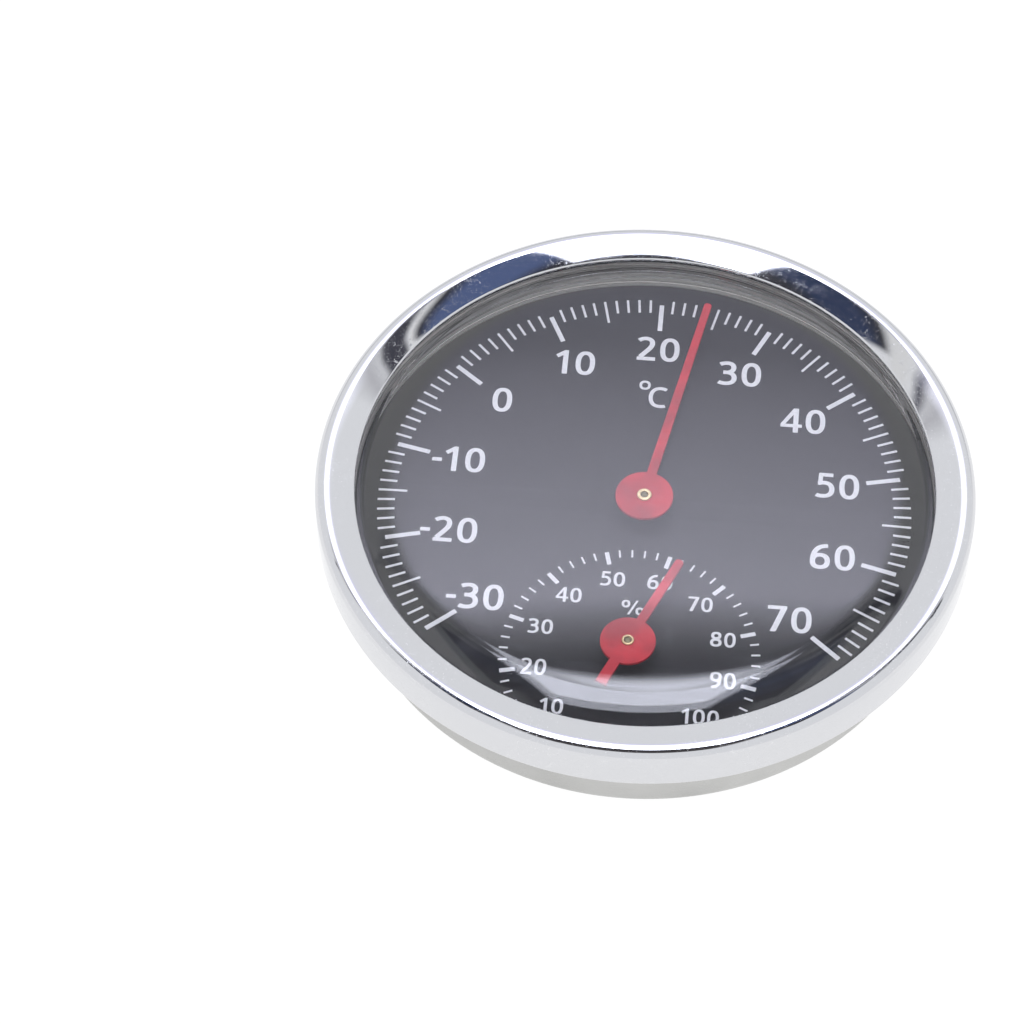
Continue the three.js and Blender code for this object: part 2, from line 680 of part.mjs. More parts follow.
function adjusterWasher() {
  const bore = ADJUSTER_HUB_RADIUS + TURNING_GAP;
  return turned(
    [
      [bore, BRIDGE_TOP_Z],
      [bore + WASHER_WIDTH, BRIDGE_TOP_Z],
      [bore + WASHER_WIDTH, ADJUSTER_ARM_Z],
      [bore, ADJUSTER_ARM_Z],
    ],
    2 * SHAFT_SEGMENTS,
  );
}

// The pieces that both movements have, in a group at the movement's own centre.
function movement(design, centreHoleRadius, hasStudHole, studBaseZ, studShankZ) {
  const { name, centre, reading, scale } = design;
  const group = new THREE.Group();
  group.position.set(centre[0], centre[1], 0);
  const hand = named(name + "_pointer", pointer(design), ...pointerRed);
  hand.rotation.z = -scaleAngle(scale, reading);
  const coilGroup = new THREE.Group();
  coilGroup.rotation.z = toRadians(design.studAngleDeg);
  const stud = named(name + "_coil_stud", coilStud(studShankZ, studBaseZ), ...brass);
  stud.position.x = COIL_OUTER_RADIUS;
  coilGroup.add(named(name + "_coil", coil(design), design.coilColour, 0.4, 1));
  coilGroup.add(named(name + "_coil_sleeve", coilSleeve(), ...brass));
  coilGroup.add(stud);
  group.add(hand, coilGroup);
  group.add(named(name + "_collet", collet(design), ...brass));
  group.add(named(name + "_arbor", arbor(design), ...steel));
  group.add(named(name + "_front_bush", frontBush(), ...brass));
  group.add(named(name + "_bridge", bridge(centreHoleRadius, hasStudHole), ...steel));
  for (const [side, label] of [[-1, "left"], [1, "right"]]) {
    const pin = named(`${name}_rivet_${label}`, rivet(), ...steel);
    pin.position.x = side * RIVET_X;
    group.add(pin);
  }
  return group;
}

const thermoMovement = movement(THERMO, REAR_BUSH_RADIUS + HOLE_GAP, true, BRIDGE_TOP_Z, BRIDGE_Z);
thermoMovement.add(named("thermo_rear_bush", rearBush(), ...brass));

const hubHole = ADJUSTER_HUB_RADIUS + TURNING_GAP;
const hygroMovement = movement(HYGRO, hubHole, false, ADJUSTER_ARM_TOP_Z, ADJUSTER_ARM_Z);
const lever = named("hygro_adjuster", adjuster(), ...brass);
lever.rotation.z = toRadians(HYGRO.studAngleDeg);
hygroMovement.add(lever);
hygroMovement.add(named("hygro_adjuster_washer", adjusterWasher(), ...steel));

const hygrometer = new THREE.Group();
hygrometer.add(named("rear_can", rearCan(), 0xc4c6ca, 0.35, 1));
hygrometer.add(named("bezel_ring", bezelRing(), ...chrome));
const clear = named("lens", lens(), 0xffffff, 0.02, 0);
clear.material.transparent = true;
clear.material.opacity = 0.3;
hygrometer.add(clear);
hygrometer.add(named("spacer_ring", spacerRing(), ...chrome));
hygrometer.add(named("dial_support_ring", dialSupportRing(), 0x2b2b2e, 0.6, 0));
hygrometer.add(named("dial_plate", dialPlate(), 0xf4f4f4, 0.5, 0));
hygrometer.add(named("dial_face", dialFace(), 0x2f2f33, 0.6, 0));
hygrometer.add(thermoMovement, hygroMovement);

export default hygrometer;
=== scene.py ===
"""Looks for the dial hygrometer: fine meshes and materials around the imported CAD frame."""

import json
import math

import bmesh
import bpy
from mathutils import Matrix, Vector


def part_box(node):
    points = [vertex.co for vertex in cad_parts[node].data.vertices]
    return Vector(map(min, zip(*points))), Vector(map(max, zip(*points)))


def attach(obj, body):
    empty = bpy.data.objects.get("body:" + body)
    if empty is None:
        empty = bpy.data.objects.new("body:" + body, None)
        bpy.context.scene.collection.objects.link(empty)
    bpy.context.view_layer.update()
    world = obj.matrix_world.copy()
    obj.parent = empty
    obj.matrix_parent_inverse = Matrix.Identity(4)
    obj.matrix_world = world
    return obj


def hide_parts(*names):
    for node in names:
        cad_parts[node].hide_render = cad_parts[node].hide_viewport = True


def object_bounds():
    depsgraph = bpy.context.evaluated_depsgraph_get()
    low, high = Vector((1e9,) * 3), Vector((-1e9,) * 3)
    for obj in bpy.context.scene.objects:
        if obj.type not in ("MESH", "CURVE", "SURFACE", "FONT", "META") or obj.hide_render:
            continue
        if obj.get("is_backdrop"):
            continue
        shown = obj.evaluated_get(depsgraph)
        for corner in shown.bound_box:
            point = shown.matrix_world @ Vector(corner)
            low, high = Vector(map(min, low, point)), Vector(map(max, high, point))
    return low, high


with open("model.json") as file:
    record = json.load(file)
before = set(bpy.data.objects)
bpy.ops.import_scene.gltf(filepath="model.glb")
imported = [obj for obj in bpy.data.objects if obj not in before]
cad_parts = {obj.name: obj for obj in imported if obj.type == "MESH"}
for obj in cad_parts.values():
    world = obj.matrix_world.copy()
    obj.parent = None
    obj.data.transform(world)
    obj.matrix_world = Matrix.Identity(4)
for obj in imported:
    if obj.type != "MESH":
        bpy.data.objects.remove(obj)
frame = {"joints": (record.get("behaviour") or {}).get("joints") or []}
CAD_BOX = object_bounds()

# Sizes in millimetres, in the frame's own axes: +Z out of the dial, +Y to 12 o'clock.
MM = 0.001
FINE = 288
MEDIUM = 96
SHARP_DEG = 32.0


def node_box(node):
    """A CAD node's lowest and highest corners in millimetres."""
    low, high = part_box(node)
    return Vector(low) / MM, Vector(high) / MM


JOINTS = {joint["name"]: joint for joint in frame["joints"]}
HYGRO_X, HYGRO_Y = (value / MM for value in JOINTS["hygro_turn"]["pos_m"][:2])
DIAL_Z = node_box("dial_face")[1].z
PLATE_Z = node_box("dial_plate")[1].z
PLATE_BACK_Z = node_box("dial_plate")[0].z
DIAL_RADIUS = node_box("dial_face")[1].x
CAN_RADIUS = 34.15
CURL_RADIUS = 34.5
FLANGE_RADIUS = node_box("rear_can")[1].x
CAN_TOP_Z = node_box("rear_can")[1].z
SHEET = 0.5
BEZEL_RADIUS = node_box("bezel_ring")[1].x
BEZEL_TOP_Z = node_box("bezel_ring")[1].z
BEZEL_BOTTOM_Z = node_box("bezel_ring")[0].z
LENS_RADIUS = node_box("lens")[1].x
LENS_RIM_Z = node_box("lens")[0].z
LENS_TOP_Z = node_box("lens")[1].z
INK = 0.03  # how proud the printed marks stand
CAN_EDGE = 1.2
CREST_RADIUS = 36.12
LIP_RADIUS = 32.85
SLOPE_DEG = 15.6
LENS_RIM_TOP_Z = 13.02
CUTTER_BEVEL = 0.0001
HOLE_GAP = 0.02


# ---------------------------------------------------------------- mesh helpers


def new_object(name, mesh):
    piece = bpy.data.objects.new(name, mesh)
    bpy.context.collection.objects.link(piece)
    return piece


def mesh_from(name, points, faces):
    """An object from points in millimetres, with its edges sharp past SHARP_DEG."""
    mesh = bpy.data.meshes.new(name)
    mesh.from_pydata([tuple(Vector(p) * MM) for p in points], [], faces)
    finish_mesh(mesh)
    return new_object(name, mesh)


def finish_mesh(mesh):
    build = bmesh.new()
    build.from_mesh(mesh)
    bmesh.ops.remove_doubles(build, verts=build.verts, dist=1e-7)
    bmesh.ops.recalc_face_normals(build, faces=build.faces)
    build.to_mesh(mesh)
    build.free()
    mesh.shade_smooth()
    mesh.set_sharp_from_angle(angle=math.radians(SHARP_DEG))


def fillet(corners, steps=3):
    """A closed (x, y) outline whose corners (x, y, radius) are rounded."""
    outline = []
    count = len(corners)
    for i, corner in enumerate(corners):
        here = Vector(corner[:2])
        radius = corner[2] if len(corner) > 2 else 0.0
        if radius == 0.0:
            outline.append(tuple(here))
            continue
        back = (Vector(corners[i - 1][:2]) - here).normalized()
        ahead = (Vector(corners[(i + 1) % count][:2]) - here).normalized()
        half = math.acos(max(-1.0, min(1.0, back.dot(ahead)))) / 2
        centre = here + (back + ahead).normalized() * (radius / math.sin(half))
        first = here + back * (radius / math.tan(half)) - centre
        last = here + ahead * (radius / math.tan(half)) - centre
        turn = math.atan2(first.x * last.y - first.y * last.x, first.dot(last))
        for k in range(steps + 1):
            angle = turn * k / steps
            x = first.x * math.cos(angle) - first.y * math.sin(angle)
            y = first.x * math.sin(angle) + first.y * math.cos(angle)
            outline.append((centre.x + x, centre.y + y))
    return outline


def lathe(name, outline, segments=FINE, centre=(0.0, 0.0)):
    """A solid of revolution about a line along Z. A point at radius 0 becomes a pole."""
    points, rings = [], []
    for radius, z in outline:
        if radius < 1e-6:
            rings.append([len(points)] * segments)
            points.append((centre[0], centre[1], z))
            continue
        ring = []
        for k in range(segments):
            angle = 2 * math.pi * k / segments
            ring.append(len(points))
            points.append((centre[0] + radius * math.cos(angle), centre[1] + radius * math.sin(angle), z))
        rings.append(ring)
    faces = []
    closed = outline[0][0] > 1e-6
    spans = len(rings) if closed else len(rings) - 1
    for i in range(spans):
        low, high = rings[i], rings[(i + 1) % len(rings)]
        for k in range(segments):
            n = (k + 1) % segments
            corners = [low[k], low[n], high[n], high[k]]
            distinct = list(dict.fromkeys(corners))
            if len(distinct) > 2:
                faces.append(distinct)
    return mesh_from(name, points, faces)


def flat_part(name, outline, holes, low_z, high_z, bevel=0.05):
    """A plate with rounded edges, cut from an outline with holes, lying in the XY plane."""
    curve = bpy.data.curves.new(name, "CURVE")
    curve.dimensions = "2D"
    curve.fill_mode = "BOTH"
    curve.extrude = (high_z - low_z) / 2 - bevel
    curve.bevel_depth = bevel
    curve.bevel_resolution = 1
    curve.offset = -bevel
    for loop in [outline, *holes]:
        spline = curve.splines.new("POLY")
        spline.points.add(len(loop) - 1)
        for point, (x, y) in zip(spline.points, loop):
            point.co = (x, y, 0, 1)
        spline.use_cyclic_u = True
    source = bpy.data.objects.new(name + "_outline", curve)
    bpy.context.collection.objects.link(source)
    mesh = bpy.data.meshes.new_from_object(source.evaluated_get(bpy.context.evaluated_depsgraph_get()))
    bpy.data.objects.remove(source)
    bpy.data.curves.remove(curve)
    mesh.name = name
    mesh.transform(Matrix.Translation((0, 0, (low_z + high_z) / 2)))
    mesh.transform(Matrix.Scale(MM, 4))
    finish_mesh(mesh)
    return new_object(name, mesh)


def circle(x, y, radius, steps=48):
    angles = [2 * math.pi * k / steps for k in range(steps)]
    return [(x + radius * math.cos(a), y + radius * math.sin(a)) for a in angles]


def applied(piece, others, operation):
    """The piece joined with or cut by other objects, which are used up."""
    for other in others:
        change = piece.modifiers.new("change", "BOOLEAN")
        change.operation = operation
        change.solver = "EXACT"
        change.object = other
        bpy.context.view_layer.update()
        seen = piece.evaluated_get(bpy.context.evaluated_depsgraph_get())
        mesh = bpy.data.meshes.new_from_object(seen)
        piece.modifiers.clear()
        old = piece.data
        piece.data = mesh
        mesh.name = piece.name
        bpy.data.meshes.remove(old)
        spare = other.data
        bpy.data.objects.remove(other)
        bpy.data.meshes.remove(spare)
    finish_mesh(piece.data)
    return piece


def cut(piece, cutters):
    return applied(piece, cutters, "DIFFERENCE")


def union(piece, extras):
    return applied(piece, extras, "UNION")


def cutter_rod(x, y, radius, low_z, high_z):
    return lathe("cutter", [(0, low_z), (radius, low_z), (radius, high_z), (0, high_z)], 48, (x, y))


def cutter_box(left, front, right, back, low_z, high_z):
    corners = [(left, front), (right, front), (right, back), (left, back)]
    return flat_part("cutter", corners, [], low_z, high_z, CUTTER_BEVEL)


def place(piece, x=0.0, y=0.0, degrees=0.0):
    """Turns a piece about Z and moves it, both in its mesh."""
    turn = Matrix.Rotation(math.radians(degrees), 4, "Z")
    piece.data.transform(Matrix.Translation((x * MM, y * MM, 0)) @ turn)
    return piece


def ribbon(points, thickness, low_z, high_z, rise=None):
    """Points and faces of a strip that follows a line in the XY plane.

    Where it is given, rise is its thickness across level stretches, and thickness across upright ones.
    """
    rise = thickness if rise is None else rise
    out, faces = [], []
    for i, (x, y) in enumerate(points):
        x0, y0 = points[max(i - 1, 0)]
        x1, y1 = points[min(i + 1, len(points) - 1)]
        length = math.hypot(x1 - x0, y1 - y0)
        nx, ny = -(y1 - y0) / length * thickness / 2, (x1 - x0) / length * rise / 2
        left, right = (x + nx, y + ny), (x - nx, y - ny)
        out += [(*left, low_z), (*right, low_z), (*right, high_z), (*left, high_z)]
        if i:
            a, b = 4 * (i - 1), 4 * i
            faces += [(a + k, a + (k + 1) % 4, b + (k + 1) % 4, b + k) for k in range(4)]
    end = len(out) - 4
    faces += [(0, 1, 2, 3), (end, end + 1, end + 2, end + 3)]
    return out, faces


# ---------------------------------------------------------------- materials


def new_material(name, colour, roughness, metallic=0.0):
    material = bpy.data.materials.new(name)
    material.use_nodes = True
    shader = material.node_tree.nodes["Principled BSDF"]
    shader.inputs["Base Color"].default_value = (*colour, 1)
    shader.inputs["Roughness"].default_value = roughness
    shader.inputs["Metallic"].default_value = metallic
    return material, material.node_tree, shader


def noise_node(tree, scale, detail=4.0, stretch=(1, 1, 1)):
    """Noise in object space; scale is in cycles per metre."""
    coords = tree.nodes.new("ShaderNodeTexCoord")
    mapping = tree.nodes.new("ShaderNodeMapping")
    mapping.inputs["Scale"].default_value = stretch
    noise = tree.nodes.new("ShaderNodeTexNoise")
    noise.inputs["Scale"].default_value = scale
    noise.inputs["Detail"].default_value = detail
    tree.links.new(coords.outputs["Object"], mapping.inputs["Vector"])
    tree.links.new(mapping.outputs["Vector"], noise.inputs["Vector"])
    return noise


def ramp(tree, source, low, high, to_low, to_high):
    """Maps source from low..high to to_low..to_high, clamped."""
    node = tree.nodes.new("ShaderNodeMapRange")
    for socket, value in (("From Min", low), ("From Max", high), ("To Min", to_low), ("To Max", to_high)):
        node.inputs[socket].default_value = value
    tree.links.new(source, node.inputs["Value"])
    return node.outputs["Result"]


def math_node(tree, operation, first, second):
    node = tree.nodes.new("ShaderNodeMath")
    node.operation = operation
    for socket, value in zip(node.inputs, (first, second)):
        if isinstance(value, (int, float)):
            socket.default_value = value
        else:
            tree.links.new(value, socket)
    return node.outputs[0]


def mix_colour(tree, factor, first, second):
    node = tree.nodes.new("ShaderNodeMix")
    node.data_type = "RGBA"
    tree.links.new(factor, node.inputs["Factor"])
    for socket, value in ((node.inputs[6], first), (node.inputs[7], second)):
        if isinstance(value, tuple):
            socket.default_value = (*value, 1)
        else:
            tree.links.new(value, socket)
    return node.outputs[2]


def add_bump(tree, shader, height, strength, distance):
    bump = tree.nodes.new("ShaderNodeBump")
    bump.inputs["Strength"].default_value = strength
    bump.inputs["Distance"].default_value = distance
    tree.links.new(height, bump.inputs["Height"])
    tree.links.new(bump.outputs["Normal"], shader.inputs["Normal"])


def mottle(tree, shader, noise, dark, light):
    """Base colour that drifts between two tones with a noise."""
    factor = ramp(tree, noise.outputs["Fac"], 0.35, 0.65, 0, 1)
    tree.links.new(mix_colour(tree, factor, dark, light), shader.inputs["Base Color"])


def grain(tree, shader, noise, low, high):
    """Roughness that drifts between low and high with a noise."""
    tree.links.new(ramp(tree, noise.outputs["Fac"], 0.3, 0.7, low, high), shader.inputs["Roughness"])


def specks(tree, scale, size, share):
    """Round specks: 1 inside, 0 outside. size is a share of the cell, share the part of cells with one."""
    coords = tree.nodes.new("ShaderNodeTexCoord")
    cells = tree.nodes.new("ShaderNodeTexVoronoi")
    cells.inputs["Scale"].default_value = scale
    tree.links.new(coords.outputs["Object"], cells.inputs["Vector"])
    near = ramp(tree, cells.outputs["Distance"], size, size * 0.6, 0, 1)
    split = tree.nodes.new("ShaderNodeSeparateColor")
    tree.links.new(cells.outputs["Color"], split.inputs["Color"])
    few = ramp(tree, split.outputs[0], share, share * 0.9, 0, 1)
    both = tree.nodes.new("ShaderNodeMath")
    both.operation = "MULTIPLY"
    tree.links.new(near, both.inputs[0])
    tree.links.new(few, both.inputs[1])
    return both.outputs[0]


def hairlines(tree, scale, width, stretch, amount):
    """Thin curved scratches: 1 on a line, 0 beside it. Only the given share of each line is kept."""
    path = noise_node(tree, scale, 1, stretch)
    offset = math_node(tree, "ABSOLUTE", math_node(tree, "SUBTRACT", path.outputs["Fac"], 0.5), 0)
    line = ramp(tree, offset, width * 0.4, width, 1, 0)
    keep = noise_node(tree, scale * 2.5, 2)
    return math_node(tree, "MULTIPLY", line, ramp(tree, keep.outputs["Fac"], amount, amount - 0.04, 0, 1))


def chrome_material(name, colour, roughness, wear):
    """Plated, polished steel with a faint haze, fine scratches and dust."""
    material, tree, shader = new_material(name, colour, roughness, 1.0)
    haze = noise_node(tree, 260, 3)
    base = ramp(tree, haze.outputs["Fac"], 0.35, 0.7, roughness, roughness * 1.9)
    marks = math_node(tree, "MAXIMUM", specks(tree, 3200, 0.17, 0.5), specks(tree, 1500, 0.10, 0.4))
    for scale, stretch in ((500, (1, 2.6, 1)), (640, (3, 1, 1)), (800, (2, 2, 5))):
        lines = math_node(tree, "MULTIPLY", hairlines(tree, scale, 0.009, stretch, 0.5), 0.5)
        marks = math_node(tree, "MAXIMUM", marks, lines)
    patchy = noise_node(tree, 120, 2)
    share = ramp(tree, patchy.outputs["Fac"], 0.38, 0.6, 0.25 * wear, wear)
    marks = math_node(tree, "MULTIPLY", marks, share)
    rough = tree.nodes.new("ShaderNodeMix")
    rough.inputs["B"].default_value = 0.7
    tree.links.new(marks, rough.inputs["Factor"])
    tree.links.new(base, rough.inputs["A"])
    tree.links.new(rough.outputs[0], shader.inputs["Roughness"])
    tree.links.new(mix_colour(tree, marks, colour, (0.95, 0.95, 0.95)), shader.inputs["Base Color"])
    tree.links.new(ramp(tree, marks, 0, 1, 1, 0.3), shader.inputs["Metallic"])
    return material


def spun_material(name, colour, roughness):
    """A spun ring with fine turning lines. It is only partly metallic, which keeps it light."""
    material, tree, shader = new_material(name, colour, roughness, 0.6)
    coords = tree.nodes.new("ShaderNodeTexCoord")
    split = tree.nodes.new("ShaderNodeSeparateXYZ")
    tree.links.new(coords.outputs["Object"], split.inputs[0])
    sway = noise_node(tree, 60, 2)
    height = math_node(tree, "MULTIPLY", split.outputs["Z"], 9000)
    phase = math_node(tree, "ADD", height, math_node(tree, "MULTIPLY", sway.outputs["Fac"], 6))
    lines = math_node(tree, "SINE", phase, 0)
    tree.links.new(ramp(tree, lines, -1, 1, roughness * 0.7, roughness * 1.5), shader.inputs["Roughness"])
    darker = tuple(c * 0.65 for c in colour)
    tint = mix_colour(tree, ramp(tree, lines, -1, 1, 0, 1), darker, colour)
    tree.links.new(tint, shader.inputs["Base Color"])
    add_bump(tree, shader, lines, 0.25, 0.00002)
    return material


def steel_material(name, colour, roughness, stretch=(1, 1, 14)):
    """Satin steel: streaky roughness and a fine grain."""
    material, tree, shader = new_material(name, colour, roughness, 1.0)
    streak = noise_node(tree, 500, 6, stretch)
    patch = noise_node(tree, 90, 3)
    grain(tree, shader, streak, roughness * 0.8, roughness * 1.3)
    mottle(tree, shader, patch, tuple(c * 0.86 for c in colour), colour)
    add_bump(tree, shader, streak.outputs["Fac"], 0.08, 0.00002)
    return material


def brass_material():
    material, tree, shader = new_material("turned_brass", (0.74, 0.58, 0.33), 0.42, 1.0)
    tool = noise_node(tree, 1600, 5, (1, 1, 6))
    patch = noise_node(tree, 350, 3)
    grain(tree, shader, tool, 0.36, 0.55)
    mottle(tree, shader, patch, (0.64, 0.48, 0.25), (0.82, 0.66, 0.40))
    add_bump(tree, shader, tool.outputs["Fac"], 0.12, 0.00002)
    return material


def glass_material():
    """Clear moulded glass that lets light through to the dial without a caustic."""
    material, tree, shader = new_material("clear_lens", (1.0, 1.0, 1.0), 0.0)
    shader.inputs["Transmission Weight"].default_value = 1.0
    shader.inputs["IOR"].default_value = 1.5
    path = tree.nodes.new("ShaderNodeLightPath")
    through = tree.nodes.new("ShaderNodeBsdfTransparent")
    through.inputs["Color"].default_value = (0.9, 0.91, 0.92, 1)
    pick = tree.nodes.new("ShaderNodeMixShader")
    output = tree.nodes["Material Output"]
    tree.links.new(path.outputs["Is Shadow Ray"], pick.inputs["Fac"])
    tree.links.new(shader.outputs["BSDF"], pick.inputs[1])
    tree.links.new(through.outputs["BSDF"], pick.inputs[2])
    tree.links.new(pick.outputs["Shader"], output.inputs["Surface"])
    return material


def face_material():
    """Black satin film with a faint mottle and a few specks of dust."""
    material, tree, shader = new_material("black_film", (0.02, 0.02, 0.023), 0.5)
    shader.inputs["Specular IOR Level"].default_value = 0.3
    cloud = noise_node(tree, 420, 5)
    factor = ramp(tree, cloud.outputs["Fac"], 0.35, 0.65, 0, 1)
    film = mix_colour(tree, factor, (0.017, 0.017, 0.020), (0.025, 0.025, 0.029))
    dust = specks(tree, 700, 0.06, 0.05)
    tree.links.new(mix_colour(tree, dust, film, (0.22, 0.22, 0.23)), shader.inputs["Base Color"])
    grain(tree, shader, cloud, 0.42, 0.6)
    add_bump(tree, shader, cloud.outputs["Fac"], 0.02, 0.00001)
    return material


def ink_material():
    material, tree, shader = new_material("white_ink", (0.78, 0.78, 0.80), 0.6)
    mottle(tree, shader, noise_node(tree, 3500, 4), (0.74, 0.74, 0.76), (0.82, 0.82, 0.84))
    return material


def paint_material(name, colour, darker, roughness):
    """Sprayed paint: a slight orange peel and a soft change of colour."""
    material, tree, shader = new_material(name, colour, roughness)
    patch = noise_node(tree, 250, 4)
    peel = noise_node(tree, 2600, 3)
    mottle(tree, shader, patch, darker, colour)
    grain(tree, shader, peel, roughness * 0.85, roughness * 1.2)
    add_bump(tree, shader, peel.outputs["Fac"], 0.1, 0.00003)
    return material


MATERIALS = {
    "chrome_bezel": chrome_material("bezel_chrome", (0.685, 0.69, 0.71), 0.03, 0.7),
    "spacer_chrome": spun_material("spacer_bright", (0.92, 0.90, 0.89), 0.32),
    "can_steel": steel_material("can_steel", (0.55, 0.55, 0.54), 0.32),
    "lens_clear": glass_material(),
    "support_plastic": paint_material("support_plastic", (0.03, 0.03, 0.032), (0.022, 0.022, 0.024), 0.5),
    "plate_white": paint_material("white_lacquer", (0.82, 0.82, 0.83), (0.76, 0.76, 0.78), 0.4),
    "face_black": face_material(),
    "ink": ink_material(),
    "pointer_red": paint_material("pointer_red", (0.80, 0.021, 0.045), (0.49, 0.014, 0.03), 0.5),
    "brass": brass_material(),
    "shaft_steel": steel_material("shaft_steel", (0.24, 0.21, 0.12), 0.5),
    "bridge_steel": steel_material("bridge_steel", (0.62, 0.63, 0.65), 0.3, (1, 10, 1)),
    "bimetal": steel_material("bimetal", (0.62, 0.47, 0.27), 0.3, (1, 1, 12)),
    "humidity_strip": steel_material("humidity_strip", (0.55, 0.5, 0.42), 0.42, (1, 1, 12)),
}


def dress(piece, slot, body, *nodes):
    """Gives a piece the material of its slot and its body, and hides the CAD nodes it stands for."""
    piece.data.materials.clear()
    piece.data.materials.append(MATERIALS[slot])
    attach(piece, body)
    if nodes:
        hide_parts(*nodes)
    "plate_white" if slot == "ink" else slot


# ---------------------------------------------------------------- case

VENT_COUNT = 12
VENT_RADIUS = 28.0
VENT_WIDTH = 2.2
VENT_SPAN_DEG = 17.0
ACCESS_HOLE_RADIUS = 3.0


def vent_cutter(bearing):
    """An arc-shaped slot with rounded ends, as a solid that goes through the can's back."""
    half = math.radians(VENT_SPAN_DEG / 2)
    end = VENT_WIDTH / 2
    reach = half - end / VENT_RADIUS
    steps = 10
    outer = [bearing - reach + 2 * reach * k / steps for k in range(steps + 1)]
    outline = [((VENT_RADIUS + end) * math.cos(a), (VENT_RADIUS + end) * math.sin(a)) for a in outer]
    for side, tip in ((1, bearing + reach), (-1, bearing - reach)):
        x, y = VENT_RADIUS * math.cos(tip), VENT_RADIUS * math.sin(tip)
        start = tip if side == 1 else tip + math.pi
        outline += [
            (x + end * math.cos(start + math.pi * k / 8), y + end * math.sin(start + math.pi * k / 8))
            for k in range(1, 8)
        ]
        if side == 1:
            inner = VENT_RADIUS - end
            outline += [(inner * math.cos(a), inner * math.sin(a)) for a in reversed(outer)]
    return flat_part("cutter", outline, [], -1.0, 1.0, CUTTER_BEVEL)


def make_can():
    inner = CAN_RADIUS - SHEET
    outline = fillet([
        (0, 0),
        (CAN_RADIUS, 0, CAN_EDGE),
        (CAN_RADIUS, CAN_TOP_Z - SHEET, 0.0),
        (FLANGE_RADIUS, CAN_TOP_Z - SHEET, 0.1),
        (FLANGE_RADIUS, CAN_TOP_Z, 0.1),
        (inner, CAN_TOP_Z, 0.3),
        (inner, SHEET, CAN_EDGE - SHEET),
        (0, SHEET),
    ], 6)
    cutters = [vent_cutter(2 * math.pi * (i + 0.5) / VENT_COUNT) for i in range(VENT_COUNT)]
    cutters.append(cutter_rod(HYGRO_X, HYGRO_Y, ACCESS_HOLE_RADIUS, -1, 1))
    can = cut(lathe("rear_can_shell", outline), cutters)
    dress(can, "can_steel", "case", "rear_can")


def make_bezel():
    """A curl under the flange, a wall, a rounded corner, a crest and a slope to a lip cut back below."""
    wall = BEZEL_RADIUS
    crest_z = BEZEL_TOP_Z - 0.02
    lip_z = crest_z - (CREST_RADIUS - LIP_RADIUS) * math.tan(math.radians(SLOPE_DEG))
    seat_z = LENS_RIM_TOP_Z + 0.01
    fall, undercut, play = 0.32, 0.32, 0.05
    outline = fillet([
        (CURL_RADIUS, BEZEL_BOTTOM_Z, 0.2),
        (wall, BEZEL_BOTTOM_Z, 0.6),
        (wall, crest_z - fall, 1.2),
        (CREST_RADIUS, crest_z, 1.8),
        (LIP_RADIUS, lip_z, 0.3),
        (LIP_RADIUS + undercut, seat_z, 0.03),
        (LENS_RADIUS + play, seat_z),
        (CREST_RADIUS, crest_z - 0.6),
        (wall - SHEET, crest_z - 1.3),
        (wall - SHEET, CAN_TOP_Z - SHEET),
        (CURL_RADIUS, CAN_TOP_Z - SHEET, 0.2),
    ], 8)
    dress(lathe("bezel_shell", outline), "chrome_bezel", "case", "bezel_ring")


LENS_SPHERE = 400.0
LENS_DOME_R = 28.2
LENS_EDGE_ARC = 12.2
LENS_THICKNESS = 1.3


def lens_profile(apex_z, end_z, dome_steps=20, edge_steps=10):
    """(radius, z) down one face: a shallow dome, then a tighter arc that runs down to end_z."""
    start = math.asin(LENS_DOME_R / LENS_SPHERE)
    line = []
    for k in range(dome_steps + 1):
        radius = LENS_DOME_R * k / dome_steps
        line.append((radius, apex_z - LENS_SPHERE + math.sqrt(LENS_SPHERE**2 - radius**2)))
    join_z = line[-1][1]
    stop = math.acos(math.cos(start) - (join_z - end_z) / LENS_EDGE_ARC)
    for k in range(1, edge_steps + 1):
        angle = start + (stop - start) * k / edge_steps
        radius = LENS_DOME_R + LENS_EDGE_ARC * (math.sin(angle) - math.sin(start))
        line.append((radius, join_z - LENS_EDGE_ARC * (math.cos(start) - math.cos(angle))))
    return line


def make_lens():
    """A clear shell of even thickness with a flat rim that is held under the bezel's lip."""
    top = lens_profile(LENS_TOP_Z, LENS_RIM_TOP_Z)
    under = lens_profile(LENS_TOP_Z - LENS_THICKNESS, LENS_RIM_Z)
    outline = top + [(LENS_RADIUS, LENS_RIM_TOP_Z), (LENS_RADIUS, LENS_RIM_Z)] + list(reversed(under))
    dress(lathe("lens_dome", outline), "lens_clear", "case", "lens")


def make_spacer():
    """The bright spun ring under the lens: a bevelled foot on the dial, two small steps and a flange."""
    foot, wall, flange = 32.95, 33.1, 34.9
    outline = fillet([
        (foot, DIAL_Z, 0.0),
        (wall + SHEET, DIAL_Z, 0.0),
        (wall + SHEET, LENS_RIM_Z - SHEET),
        (flange, LENS_RIM_Z - SHEET, 0.1),
        (flange, LENS_RIM_Z - 0.01, 0.1),
        (wall + 0.36, LENS_RIM_Z - 0.01, 0.05),
        (wall + 0.3, LENS_RIM_Z - 0.12, 0.08),
        (wall + 0.14, LENS_RIM_Z - 0.17, 0.05),
        (wall + 0.1, LENS_RIM_Z - 0.8, 0.04),
        (wall, LENS_RIM_Z - 0.84, 0.04),
        (wall - 0.02, DIAL_Z + 0.52, 0.04),
        (foot + 0.07, DIAL_Z + 0.46, 0.04),
        (foot + 0.01, DIAL_Z + 0.1, 0.04),
    ], 4)
    dress(lathe("spacer_bright", outline), "spacer_chrome", "case", "spacer_ring")


